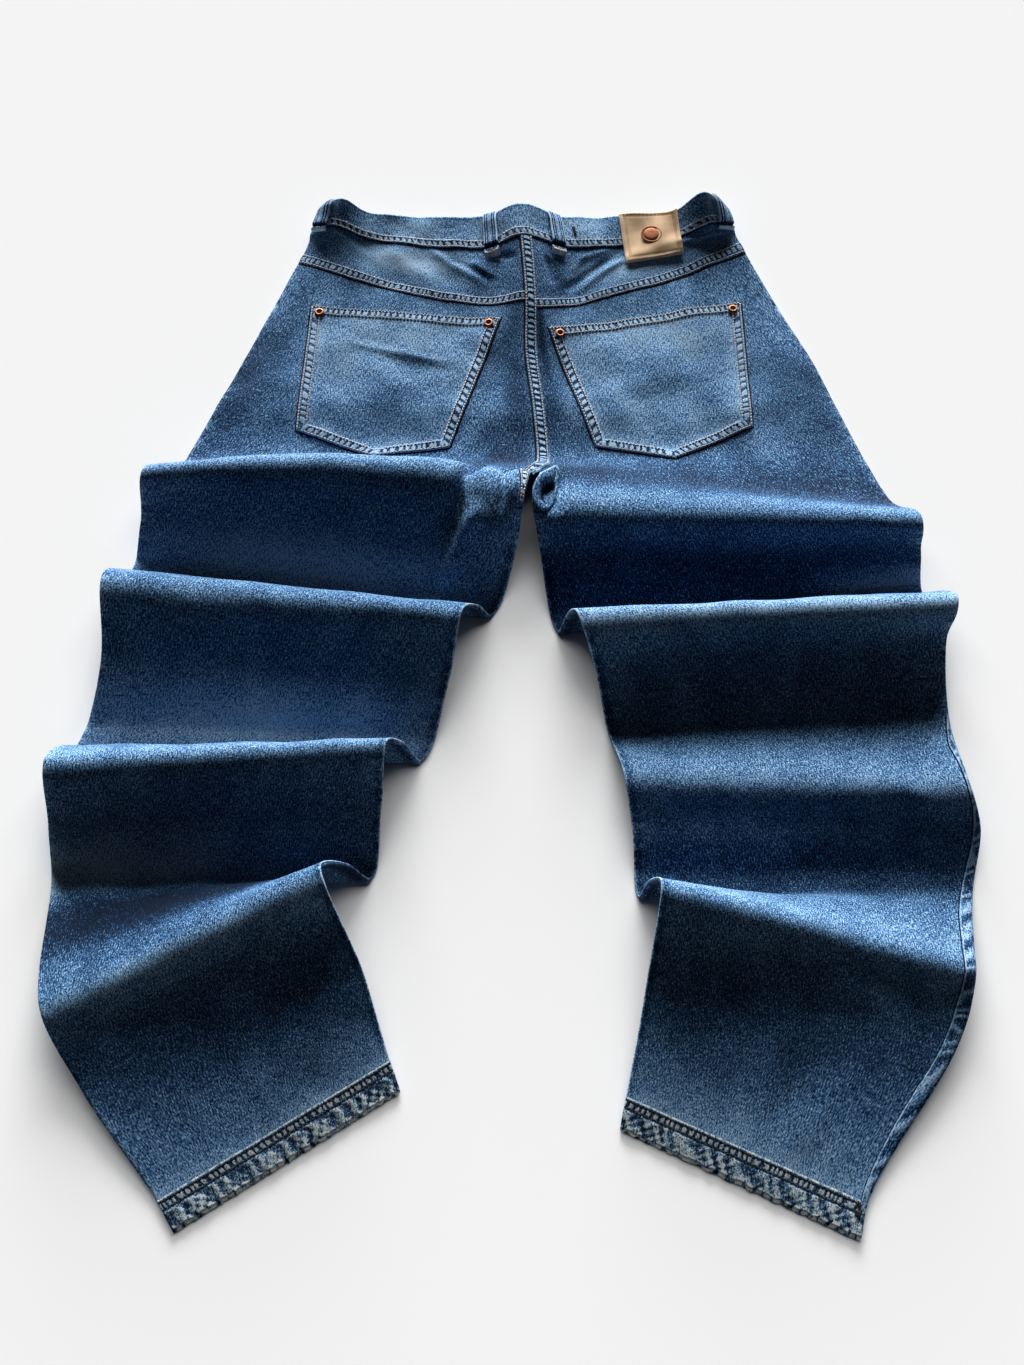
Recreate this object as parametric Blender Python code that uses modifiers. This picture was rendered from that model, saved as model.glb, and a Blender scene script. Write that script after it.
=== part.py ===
"""Balloon jeans laid on a floor, back side up, with each leg pushed up into folds.

The garment is drawn as two surfaces, one for each leg with its half of the seat. A
surface is a row of sections from the waist to the hem. A section runs straight across
the leg from the centre seam or inseam (u = 0) to the outseam (u = 1), and t is the
distance along that inner edge from the top of the waistband. Back panels, pockets,
belt loops and the patch follow the surface, and the front panels lie beneath it.

Metres, +Z up, +Y towards the waist, +X to the right leg. The floor is z = 0, and the
origin is under the middle of the garment.
"""

import math
from collections import namedtuple

import bmesh
import bpy
from mathutils import Vector

# Driving sizes.
CLOTH = 0.0016              # one layer of denim
SEAM_GAP = 0.0003           # between pieces that are sewn together
BAND_THICKNESS = 0.0026     # waistband, two layers pressed
HEM_RISE = 0.0008           # the turned-up hem stands above the leg
LAID_ON = 0.0008            # under a piece that lies on a panel
POCKET_THICKNESS = 0.0016
LOOP_WIDTH = 0.015
LOOP_THICKNESS = 0.0016
LOOP_ARCH = 0.0036          # room for a thin belt under the loops
LOOP_FLAT = 1.35            # how soon a loop's arch reaches its full height
LOOP_ROUND = 0.8
PATCH_THICKNESS = 0.0018
RIVET_RADIUS = 0.0047
RIVET_HEIGHT = 0.0021
RIVET_GAP = 0.0010
BUTTON_RADIUS = 0.0085
BUTTON_HEIGHT = 0.0024
BUTTON_LIFT = 0.0034        # the front waist stands on the button by this much
LIFT_SPREAD = 0.035
BUTTON_CLEAR = 0.0004       # under the button
ORNAMENT_RADIUS = 0.0105
ORNAMENT_HEIGHT = 0.0016
FRONT_DIP = 0.022           # the front waist is lower than the back at the centre
STACK = 2 * CLOTH + SEAM_GAP    # a leg's two layers, lying on each other

# The rows below are measured from a line on the floor, and this brings their
# middle to the origin.
MIDDLE = Vector((-0.0013, 0.0194, 0.0))

# Steps of a mesh, along a leg and across it.
SEAT_STEP = 0.022
LEG_STEP = 0.021
STEP_SLACK = 0.2            # of a step, by which a step may be longer
ROW_CLEAR = 0.004           # a row this near a mesh's end gets no line of its own
ACROSS = (0.0, 0.06, 0.14, 0.26, 0.42, 0.58, 0.74, 0.87, 0.96, 1.0)

# A section of one leg. inner and outer are its two ends. bow_y and bow_z move its
# middle, and turn is how late it falls to the outer end's height: 1 is a straight line.
# ridge and side are the heights of the stiff bumps at the centre seam and the side
# seam. stacked is 1 where the front panel follows the back one up, and 0 where it
# lies on the floor. nose is how far a crest's back bulges towards the waist.
Row = namedtuple("Row", "name inner outer bow_y bow_z turn ridge side stacked nose")

WAIST_ROWS = {
    "left": (
        Row("top", (0.009, 0.488, 0.014), (-0.191, 0.497, 0.015), -0.004, 0, 6, 0.019, 0.020, 0, 0),
        Row("band", (0.0125, 0.447, 0.012), (-0.199, 0.475, 0.012), -0.010, 0, 6, 0.019, 0.012, 0, 0),
        Row("yoke", (0.017, 0.371, 0.009), (-0.211, 0.436, 0.006), -0.013, 0, 6, 0.013, 0.002, 0, 0),
        Row("seat", (0.017, 0.316, 0.009), (-0.245, 0.342, 0.0045), 0, 0, 6, 0.002, 0, 0, 0),
        Row("hips", (0.024, 0.242, 0.009), (-0.275, 0.260, 0.0045), 0, 0, 6, 0, 0, 0, 0),
    ),
    "right": (
        Row("top", (0.009, 0.488, 0.014), (0.213, 0.499, 0.015), -0.004, 0, 6, 0.019, 0.028, 0, 0),
        Row("band", (0.0125, 0.447, 0.012), (0.221, 0.477, 0.012), -0.010, 0, 6, 0.019, 0.014, 0, 0),
        Row("yoke", (0.017, 0.371, 0.009), (0.231, 0.449, 0.006), -0.013, 0, 6, 0.013, 0.002, 0, 0),
        Row("seat", (0.017, 0.316, 0.009), (0.278, 0.331, 0.0045), 0, 0, 6, 0.002, 0, 0, 0),
        Row("hips", (0.024, 0.242, 0.009), (0.305, 0.254, 0.0045), 0, 0, 6, 0, 0, 0, 0),
    ),
}

LEG_ROWS = {
    "left": (
        Row("nip", (0.0270, 0.182, 0.0100), (-0.304, 0.184, 0.0060), 0, 0, 6, 0, 0, 0.2, 0),
        Row("fork", (0.0240, 0.161, 0.028), (-0.313, 0.163, 0.026), 0, 0.004, 1, 0, 0, 0.8, 0),
        Row("crest 1", (0.019, 0.141, 0.043), (-0.325, 0.145, 0.050), 0.006, 0.010, 1, 0, 0, 1, 0),
        Row("front 1", (0.004, 0.071, 0.022), (-0.333, 0.100, 0.022), 0, 0, 1, 0, 0, 1, 0),
        Row("foot 1", (-0.018, 0.014, 0.0036), (-0.341, 0.058, 0.0036), 0, 0, 1, 0, 0, 1, 0),
        Row("crest 2", (-0.040, -0.009, 0.050), (-0.353, 0.027, 0.050), 0, 0, 1, 0, 0, 1, 0.006),
        Row("front 2", (-0.054, -0.067, 0.024), (-0.352, -0.050, 0.024), 0, 0, 1, 0, 0, 1, 0),
        Row("foot 2", (-0.077, -0.134, 0.0036), (-0.369, -0.122, 0.0036), 0, 0, 1, 0, 0, 1, 0),
        Row("crest 3", (-0.101, -0.143, 0.054), (-0.380, -0.157, 0.050), 0, 0, 1, 0, 0, 1, 0.008),
        Row("front 3", (-0.107, -0.192, 0.026), (-0.377, -0.208, 0.024), 0, 0, 1, 0, 0, 1, 0),
        Row("foot 3", (-0.115, -0.244, 0.0036), (-0.373, -0.254, 0.0036), 0, 0, 1, 0, 0, 1, 0),
        Row("crest 4", (-0.148, -0.255, 0.054), (-0.366, -0.345, 0.030), 0, 0, 1, 0, 0, 1, 0.006),
        Row("front 4", (-0.115, -0.339, 0.024), (-0.324, -0.432, 0.016), 0, 0, 1, 0, 0, 1, 0),
        Row("hem", (-0.094, -0.402, 0.0070), (-0.263, -0.511, 0.0050), 0, 0, 1, 0, 0, 1, 0),
        Row("end", (-0.086, -0.424, 0.0040), (-0.250, -0.532, 0.0040), 0, 0, 1, 0, 0, 1, 0),
    ),
    "right": (
        Row("nip", (0.0280, 0.182, 0.0100), (0.328, 0.182, 0.0055), 0, 0, 6, 0, 0, 0.2, 0),
        Row("fork", (0.0270, 0.161, 0.028), (0.343, 0.136, 0.012), 0, 0.002, 1, 0, 0, 0.8, 0),
        Row("crest 1", (0.025, 0.122, 0.044), (0.358, 0.096, 0.046), 0, 0, 1, 0, 0, 1, 0),
        Row("front 1", (0.027, 0.058, 0.022), (0.362, 0.066, 0.026), 0, 0, 1, 0, 0, 1, 0),
        Row("foot 1", (0.040, -0.003, 0.0036), (0.365, 0.033, 0.0036), 0, 0, 1, 0, 0, 1, 0),
        Row("crest 2", (0.053, -0.015, 0.054), (0.381, 0.004, 0.050), 0, 0, 1, 0, 0, 1, 0.006),
        Row("front 2", (0.071, -0.057, 0.028), (0.373, -0.029, 0.028), 0, 0, 1, 0, 0, 1, 0),
        Row("foot 2", (0.081, -0.103, 0.006), (0.372, -0.091, 0.006), 0, 0, 1, 0, 0, 1, 0),
        Row("crest 3", (0.092, -0.160, 0.030), (0.375, -0.168, 0.030), 0, 0, 1, 0, 0, 1, 0),
        Row("front 3", (0.099, -0.208, 0.016), (0.383, -0.206, 0.016), 0, 0, 1, 0, 0, 1, 0),
        Row("foot 3", (0.102, -0.260, 0.0036), (0.373, -0.254, 0.0036), 0, 0, 1, 0, 0, 1, 0),
        Row("crest 4", (0.115, -0.269, 0.054), (0.362, -0.318, 0.026), 0, 0, 1, 0, 0, 1, 0.006),
        Row("front 4", (0.103, -0.355, 0.024), (0.340, -0.397, 0.016), 0, 0, 1, 0, 0, 1, 0),
        Row("hem", (0.087, -0.431, 0.0070), (0.263, -0.513, 0.0050), 0, 0, 1, 0, 0, 1, 0),
        Row("end", (0.082, -0.454, 0.0040), (0.256, -0.538, 0.0040), 0, 0, 1, 0, 0, 1, 0),
    ),
}

RIDGE_SPREAD = 0.13         # of a section, for the bump at the centre seam
SIDE_PLACE = 0.90           # of a section, for the bump at the side seam
SIDE_SPREAD = 0.10
SIDE_FALL = 24              # how late that bump falls to the side seam
SEAM_TURN = 14              # how late the front panel rises to the side seam
NOSE_HEIGHT = 0.52          # of a crest, where its back bulges

# Pocket corners and its point at the bottom, on the floor plan.
Pocket = namedtuple("Pocket", "top_outer top_inner bottom_inner tip bottom_outer")
POCKETS = {
    "left": Pocket((-0.195, 0.373), (-0.011, 0.354), (-0.058, 0.200), (-0.129, 0.188), (-0.202, 0.221)),
    "right": Pocket((0.223, 0.378), (0.035, 0.340), (0.078, 0.201), (0.151, 0.184), (0.225, 0.223)),
}
POCKET_CELLS = 8
RIVET_INSET = 0.0085        # from a pocket's top corner, along its top edge and down
PATCH_CORNERS = ((0.107, 0.490), (0.166, 0.494), (0.170, 0.441), (0.113, 0.427))

# Belt loops, and where each one lies across its side.
Loop = namedtuple("Loop", "name side u")
LOOPS = (
    Loop("left_back_loop", "left", 0.150),
    Loop("right_back_loop", "right", 0.155),
    Loop("left_side_loop", "left", 0.955),
    Loop("right_side_loop", "right", 0.955),
)
LOOP_OVERHANG = 0.014       # of a loop, below the waistband
LOOP_STEPS = 10
PATCH_CELLS = 6
FIND_ROUNDS = 30            # of the search for a point of the seat
BAND_ACROSS = (0.03, 0.07, 0.11, 0.15, 0.19, 0.24, 0.31, 0.40, 0.50, 0.58,
               0.65, 0.71, 0.76, 0.81, 0.85, 0.89, 0.93, 0.96, 0.985)
BAND_FOLD = 0.0012          # the waistband's fold stands out past the side seam
FLY_START = 0.002           # below the waistband
FLY_LENGTH = 0.155
FLY_EDGES = (("left", 0.15), ("left", 0.10), ("left", 0.05), ("right", 0.0), ("right", 0.05))
FLY_STEPS = 9


# Turned pieces, as shares of their radius and height.
RIVET_STEPS = 16
RIVET_PROFILE = ((0, 0.75), (0.30, 0.60), (0.45, 0.35), (0.70, 1), (1, 0.45), (1, 0), (0, 0))
DISC_STEPS = 20
ORNAMENT_PROFILE = ((0, 1), (0.35, 0.85), (0.80, 0.55), (1, 0.25), (1, 0), (0, 0))
BUTTON_PROFILE = ((0, 1), (0.75, 1), (1, 0.6), (1, 0.3), (0.85, 0), (0, 0))

# Base colours, linear.
DENIM_BLUE = (0.075, 0.165, 0.30)
LEATHER_TAN = (0.40, 0.26, 0.14)
AGED_COPPER = (0.45, 0.20, 0.11)


def clear_scene():
    """Remove every object that is in the scene."""
    for thing in list(bpy.data.objects):
        bpy.data.objects.remove(thing, do_unlink=True)


def make_material(name, color, roughness, metallic=0.0):
    """Return a Principled material."""
    material = bpy.data.materials.new(name)
    material.use_nodes = True
    shader = material.node_tree.nodes["Principled BSDF"]
    shader.inputs["Base Color"].default_value = (*color, 1.0)
    shader.inputs["Roughness"].default_value = roughness
    shader.inputs["Metallic"].default_value = metallic
    return material


class Side:
    """The surface of one leg with its half of the seat."""

    def __init__(self, name):
        self.name = name
        self.sign = 1 if name == "left" else -1
        self.rows = self.with_noses(WAIST_ROWS[name] + LEG_ROWS[name])
        self.marks = [0.0]
        for before, after in zip(self.rows, self.rows[1:]):
            self.marks.append(self.marks[-1] + (Vector(after.inner) - Vector(before.inner)).length)
        self.at = {row.name: mark for row, mark in zip(self.rows, self.marks)}

    @staticmethod
    def with_noses(rows):
        """Add a section half way up the back of each crest that stands steeply."""
        full = []
        for row in rows:
            if row.nose:
                foot = full[-1]
                ends = []
                for low, high in ((foot.inner, row.inner), (foot.outer, row.outer)):
                    y = max(high[1], 0.5 * (low[1] + high[1])) + row.nose
                    ends.append((0.5 * (low[0] + high[0]), min(y, low[1] + row.nose), NOSE_HEIGHT * high[2]))
                full.append(row._replace(name=row.name + " back", inner=ends[0], outer=ends[1], nose=0))
            full.append(row)
        return full

    def section_point(self, row, u):
        """Return the point of one section at u."""
        bow = 4 * u * (1 - u)
        x = row.inner[0] + (row.outer[0] - row.inner[0]) * u
        y = row.inner[1] + (row.outer[1] - row.inner[1]) * u + row.bow_y * bow
        z = row.inner[2] + (row.outer[2] - row.inner[2]) * u ** row.turn + row.bow_z * bow
        z += row.ridge * math.exp(-(u / RIDGE_SPREAD) ** 2)
        fall = 1 - u ** SIDE_FALL
        z += row.side * fall * math.exp(-((u - SIDE_PLACE) / SIDE_SPREAD) ** 2)
        return Vector((x, y, z, row.stacked))

    def blend(self, u, t):
        """Return the surface at u and t, smoothed through its sections."""
        marks, rows = self.marks, self.rows
        k = 0
        while k < len(marks) - 2 and t > marks[k + 1]:
            k += 1
        points = [self.section_point(rows[j], u) for j in range(max(k - 1, 0), min(k + 3, len(rows)))]
        first = k - max(k - 1, 0)
        span = marks[k + 1] - marks[k]
        here, after = points[first], points[first + 1]
        slope = (after - here) / span
        start = end = slope
        if first:
            back = marks[k] - marks[k - 1]
            start = (slope * back + (here - points[first - 1]) / back * span) / (back + span)
        if first + 2 < len(points):
            ahead = marks[k + 2] - marks[k + 1]
            end = (slope * ahead + (points[first + 2] - after) / ahead * span) / (ahead + span)
        s = (t - marks[k]) / span
        s2, s3 = s * s, s * s * s
        return (
            here * (2 * s3 - 3 * s2 + 1)
            + start * (span * (s3 - 2 * s2 + s))
            + after * (3 * s2 - 2 * s3)
            + end * (span * (s3 - s2))
        )

    def place(self, u, t):
        """Return the outer face of the cloth at u and t."""
        x, y, z, _ = self.blend(u, t)
        shift = -self.sign * SEAM_GAP / 2 * (1 - u)
        return Vector((x + shift, y, max(z, STACK))) + MIDDLE

    def normal(self, u, t):
        """Return the direction out of the cloth at u and t."""
        du, dt = 0.01, 0.001
        low, high = max(u - du, 0.0), min(u + du, 1.0)
        across = self.place(high, t) - self.place(low, t)
        along = self.place(u, t + dt) - self.place(u, t - dt)
        return across.cross(along).normalized() * self.sign

    def out(self, u, t, lift):
        """Return the point at u and t, moved out of the cloth by lift."""
        return self.place(u, t) + self.normal(u, t) * lift

    def back(self, u, t, depth):
        """Return a point of the back layer, depth below its outer face."""
        point = self.out(u, t, -depth)
        point.z = max(point.z, STACK - depth)
        return point

    def front(self, u, t, height):
        """Return a point of the front layer, height above its outer face below."""
        stacked = min(max(self.blend(u, t)[3], 0.0), 1.0)
        seam = u ** SEAM_TURN
        if t > self.at["fork"]:
            seam = max(seam, (1 - u) ** SEAM_TURN)
        share = max(stacked, seam)
        follow = self.out(u, t, height - STACK)
        follow.z = max(follow.z, height)
        flat = self.place(u, t)
        waist = max(0.0, 1 - t / self.at["seat"])
        flat.y -= FRONT_DIP * waist * (1 - u * u)
        centre = self.place(0.0, 0.5 * self.at["band"])
        reach = (Vector((flat.x, flat.y)) - Vector((centre.x, centre.y - FRONT_DIP))).length
        flat.z = height + BUTTON_LIFT * math.exp(-(reach / LIFT_SPREAD) ** 4)
        return flat.lerp(follow, share)

    def find(self, x, y):
        """Return u and t of the seat at a point of the floor plan."""
        u, t = 0.5, self.at["seat"]
        goal = Vector((x, y)) + MIDDLE.xy
        step = 0.001
        for _ in range(FIND_ROUNDS):
            here = self.place(u, t).xy
            du = (self.place(u + step, t).xy - here) / step
            dt = (self.place(u, t + step).xy - here) / step
            miss = goal - here
            area = du.x * dt.y - du.y * dt.x
            u += (miss.x * dt.y - miss.y * dt.x) / area
            t += (du.x * miss.y - du.y * miss.x) / area
        return u, t

    def steps(self, first, last):
        """Return the values of t of a mesh, with each section between first and last."""
        within = [mark for mark in self.marks if first + ROW_CLEAR < mark < last - ROW_CLEAR]
        stops = [first, *within, last]
        values = [first]
        for low, high in zip(stops, stops[1:]):
            size = SEAT_STEP if high <= self.at["nip"] + ROW_CLEAR else LEG_STEP
            count = max(1, math.ceil((high - low) / size - STEP_SLACK))
            values += [low + (high - low) * i / count for i in range(1, count + 1)]
        return values


def on_facets(side, u, t, steps, lift):
    """Return the point at u and t of a wall's outer mesh, moved out by lift."""
    i = max(k for k in range(len(steps) - 1) if steps[k] <= t or k == 0)
    j = max(k for k in range(len(ACROSS) - 1) if ACROSS[k] <= u or k == 0)
    along = (t - steps[i]) / (steps[i + 1] - steps[i])
    across = (u - ACROSS[j]) / (ACROSS[j + 1] - ACROSS[j])
    near, far = side.place(ACROSS[j], steps[i]), side.place(ACROSS[j + 1], steps[i + 1])
    if across >= along:
        corner = side.place(ACROSS[j + 1], steps[i])
        point = near + (corner - near) * across + (far - corner) * along
    else:
        corner = side.place(ACROSS[j], steps[i + 1])
        point = near + (corner - near) * along + (far - corner) * across
    return point + side.normal(u, t) * lift


def add_object(name, bm, material, collection):
    """Turn a bmesh into a named object with a material."""
    mesh = bpy.data.meshes.new(name)
    bm.to_mesh(mesh)
    bm.free()
    mesh.materials.append(material)
    thing = bpy.data.objects.new(name, mesh)
    collection.objects.link(thing)
    return thing


def add_wall(name, outside, inside, material, collection, ring=False):
    """Loft a closed wall between two grids of points, or a ring of them."""
    bm = bmesh.new()
    faces = [[[bm.verts.new(point) for point in line] for line in grid] for grid in (outside, inside)]
    lines, width = len(outside), len(outside[0])
    pairs = [(i, (i + 1) % lines) for i in range(lines if ring else lines - 1)]
    for grid in faces:
        for i, k in pairs:
            for j in range(width - 1):
                bm.faces.new((grid[i][j], grid[i][j + 1], grid[k][j + 1]))
                bm.faces.new((grid[i][j], grid[k][j + 1], grid[k][j]))
    top, under = faces
    rims = [[(top[i][j], top[k][j], under[k][j], under[i][j]) for i, k in pairs] for j in (0, width - 1)]
    if not ring:
        for i in (0, lines - 1):
            rims.append([(top[i][j], top[i][j + 1], under[i][j + 1], under[i][j]) for j in range(width - 1)])
    for rim in rims:
        for a, b, c, d in rim:
            bm.faces.new((a, b, c))
            bm.faces.new((a, c, d))
    bmesh.ops.recalc_face_normals(bm, faces=bm.faces)
    return add_object(name, bm, material, collection)


def add_turned(name, profile, size, steps, place, direction, material, collection):
    """Turn a profile to a size, which is its radius and height, and stand it on a place."""
    bm = bmesh.new()
    points = [bm.verts.new((size[0] * radius, 0.0, size[1] * height)) for radius, height in profile]
    for low, high in zip(points, points[1:]):
        bm.edges.new((low, high))
    thing = add_object(name, bm, material, collection)
    screw = thing.modifiers.new("Screw", "SCREW")
    screw.axis = "Z"
    screw.steps = steps
    screw.render_steps = steps
    screw.use_merge_vertices = True
    screw.merge_threshold = 0.00005
    thing.location = place
    thing.rotation_mode = "QUATERNION"
    thing.rotation_quaternion = direction.to_track_quat("Z", "Y")
    return thing


def add_panels(side, denim, collection):
    """Add the back panel and the front panel of one leg, with their turned-up hems."""
    hem, end = side.at["hem"], side.at["end"]
    steps = side.steps(side.at["yoke"] + SEAM_GAP, end)
    rise = [HEM_RISE if t >= hem else 0.0 for t in steps]
    outside = [[side.out(u, t, lift) for u in ACROSS] for t, lift in zip(steps, rise)]
    inside = [[side.back(u, t, CLOTH) for u in ACROSS] for t in steps]
    add_wall(side.name + "_back_panel", outside, inside, denim, collection)
    steps = side.steps(side.at["band"] + SEAM_GAP, end)
    outside = [[side.front(u, t, 0.0) for u in ACROSS] for t in steps]
    inside = [[side.front(u, t, CLOTH) for u in ACROSS] for t in steps]
    add_wall(side.name + "_front_panel", outside, inside, denim, collection)


def add_yoke(side, denim, collection):
    """Add the yoke, between the waistband and the back panel."""
    steps = side.steps(side.at["band"] + SEAM_GAP, side.at["yoke"] - SEAM_GAP)
    across = (0.0, *BAND_ACROSS, 1.0)
    outside = [[side.back(u, t, 0.0) for u in across] for t in steps]
    inside = [[side.back(u, t, CLOTH) for u in across] for t in steps]
    add_wall(side.name + "_yoke", outside, inside, denim, collection)


def add_waistband(sides, denim, collection):
    """Add the waistband, one strip that runs round the back and the front."""
    left, right = sides["left"], sides["right"]
    outside, inside = [], []

    def add_line(outer_point, inner_point):
        edge = left.at["band"] - SEAM_GAP
        steps = [edge, edge / 2, 0.0]
        outside.append([outer_point(t) for t in steps])
        inside.append([inner_point(t) for t in steps])

    def add_back(side, u):
        add_line(
            lambda t: side.out(u, t, BAND_THICKNESS - CLOTH),
            lambda t: side.back(u, t, CLOTH),
        )

    def add_front(side, u):
        add_line(lambda t: side.front(u, t, 0.0), lambda t: side.front(u, t, BAND_THICKNESS))

    def add_fold(side):
        def middle(t, outward):
            point = side.out(1.0, t, -STACK / 2)
            point.x -= side.sign * outward
            return point
        add_line(lambda t: middle(t, BAND_FOLD), lambda t: middle(t, BAND_FOLD - BAND_THICKNESS))

    for side, order in ((left, -1), (right, 1)):
        for u in BAND_ACROSS[::order]:
            add_back(side, u)
    add_fold(right)
    for side, order in ((right, -1), (left, 1)):
        for u in BAND_ACROSS[::order]:
            add_front(side, u)
    add_fold(left)
    add_wall("waistband", outside, inside, denim, collection, ring=True)


def pocket_place(pocket, a, b):
    """Return a pocket's point on the floor plan: a across it and b down it."""
    top = Vector(pocket.top_inner).lerp(Vector(pocket.top_outer), a)
    tip = (Vector(pocket.tip) - Vector(pocket.bottom_inner)).length
    full = tip + (Vector(pocket.bottom_outer) - Vector(pocket.tip)).length
    corner = tip / full
    if a < corner:
        bottom = Vector(pocket.bottom_inner).lerp(Vector(pocket.tip), a / corner)
    else:
        bottom = Vector(pocket.tip).lerp(Vector(pocket.bottom_outer), (a - corner) / (1 - corner))
    return top.lerp(bottom, b)


def add_pocket(side, denim, copper, collection):
    """Add a back pocket and the rivets at its top corners."""
    pocket = POCKETS[side.name]
    tip = (Vector(pocket.tip) - Vector(pocket.bottom_inner)).length
    full = tip + (Vector(pocket.bottom_outer) - Vector(pocket.tip)).length
    corner = round(POCKET_CELLS * tip / full)
    shares = [tip / full * i / corner for i in range(corner)]
    rest = POCKET_CELLS - corner
    shares += [tip / full + (1 - tip / full) * i / rest for i in range(rest + 1)]
    outside, inside = [], []
    steps = side.steps(side.at["yoke"] + SEAM_GAP, side.at["end"])
    for i in range(POCKET_CELLS + 1):
        places = [side.find(*pocket_place(pocket, a, i / POCKET_CELLS)) for a in shares]
        outside.append([on_facets(side, u, t, steps, LAID_ON + POCKET_THICKNESS) for u, t in places])
        inside.append([on_facets(side, u, t, steps, LAID_ON) for u, t in places])
    add_wall(side.name + "_pocket", outside, inside, denim, collection)

    size = (RIVET_RADIUS, RIVET_HEIGHT)
    for label, near, far in (("inner", 0, 1), ("outer", -1, -2)):
        corner = outside[0][near]
        along, down = outside[0][far] - corner, outside[1][near] - corner
        normal = along.cross(down).normalized()
        normal *= math.copysign(1.0, normal.z)
        point = corner + (along.normalized() + down.normalized()) * RIVET_INSET + normal * RIVET_GAP
        name = f"{side.name}_pocket_{label}_rivet"
        add_turned(name, RIVET_PROFILE, size, RIVET_STEPS, point, normal, copper, collection)


def add_loop(loop, side, denim, collection):
    """Add a belt loop, sewn down at both ends and arched between them."""
    last = side.at["band"] + LOOP_OVERHANG
    half = LOOP_WIDTH / 2 / (Vector(side.rows[1].outer) - Vector(side.rows[1].inner)).length
    edges = (loop.u - half, loop.u, loop.u + half)
    base = BAND_THICKNESS - CLOTH + LAID_ON
    outside, inside = [], []
    for i in range(LOOP_STEPS + 1):
        t = last * i / LOOP_STEPS
        arch = LOOP_ARCH * min(1.0, LOOP_FLAT * math.sin(math.pi * i / LOOP_STEPS) ** LOOP_ROUND)
        inside.append([side.out(u, t, base + arch) for u in edges])
        outside.append([side.out(u, t, base + arch + LOOP_THICKNESS) for u in edges])
    add_wall(loop.name, outside, inside, denim, collection)


def add_patch(side, leather, copper, collection):
    """Add the leather patch on the waistband, with a plain round ornament."""
    top_inner, top_outer, low_outer, low_inner = (Vector(corner) for corner in PATCH_CORNERS)
    base = BAND_THICKNESS - CLOTH + LAID_ON
    outside, inside = [], []
    for i in range(PATCH_CELLS + 1):
        b = i / PATCH_CELLS
        start, stop = top_inner.lerp(low_inner, b), top_outer.lerp(low_outer, b)
        places = [side.find(*start.lerp(stop, j / PATCH_CELLS)) for j in range(PATCH_CELLS + 1)]
        outside.append([side.out(u, t, base + PATCH_THICKNESS) for u, t in places])
        inside.append([side.out(u, t, base) for u, t in places])
    add_wall("leather_patch", outside, inside, leather, collection)

    middle = (top_inner + top_outer + low_outer + low_inner) / 4
    u, t = side.find(middle.x, middle.y)
    size = (ORNAMENT_RADIUS, ORNAMENT_HEIGHT)
    point = side.out(u, t, base + PATCH_THICKNESS + SEAM_GAP)
    direction = side.normal(u, t)
    add_turned("patch_ornament", ORNAMENT_PROFILE, size, DISC_STEPS, point, direction, copper, collection)


def add_fly(sides, denim, copper, collection):
    """Add the fly shield inside the front, and the waist button under it."""
    edge = sides["left"].at["band"]
    outside, inside = [], []
    for i in range(FLY_STEPS + 1):
        t = edge + FLY_START + FLY_LENGTH * i / FLY_STEPS
        inside.append([sides[name].front(u, t, CLOTH + LAID_ON) for name, u in FLY_EDGES])
        outside.append([sides[name].front(u, t, 2 * CLOTH + LAID_ON) for name, u in FLY_EDGES])
    add_wall("fly_shield", outside, inside, denim, collection)

    point = sides["left"].front(0.0, edge / 2, 0.0)
    point.z = BUTTON_CLEAR
    size = (BUTTON_RADIUS, BUTTON_HEIGHT)
    add_turned("waist_button", BUTTON_PROFILE, size, DISC_STEPS, point, Vector((0, 0, 1)), copper, collection)


def main():
    """Build the garment."""
    clear_scene()
    collection = bpy.data.collections.new("balloon_jeans")
    bpy.context.scene.collection.children.link(collection)
    denim = make_material("denim", DENIM_BLUE, 0.85)
    leather = make_material("leather", LEATHER_TAN, 0.6)
    copper = make_material("copper", AGED_COPPER, 0.35, 1.0)
    sides = {name: Side(name) for name in ("left", "right")}
    for side in sides.values():
        add_yoke(side, denim, collection)
        add_panels(side, denim, collection)
        add_pocket(side, denim, copper, collection)
    add_waistband(sides, denim, collection)
    for loop in LOOPS:
        add_loop(loop, sides[loop.side], denim, collection)
    add_patch(sides["right"], leather, copper, collection)
    add_fly(sides, denim, copper, collection)


main()
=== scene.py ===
"""The balloon jeans, dressed: fine denim shells, felled seams, stitches, trim, floor and light.

Every shell follows the surface that the part's own pieces are drawn on, with its sizes
repeated here. u runs across a leg from the centre seam or inseam to the outseam, and t
down it from the top of the waistband, in metres along the inner edge.
"""
import math
from collections import namedtuple

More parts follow.
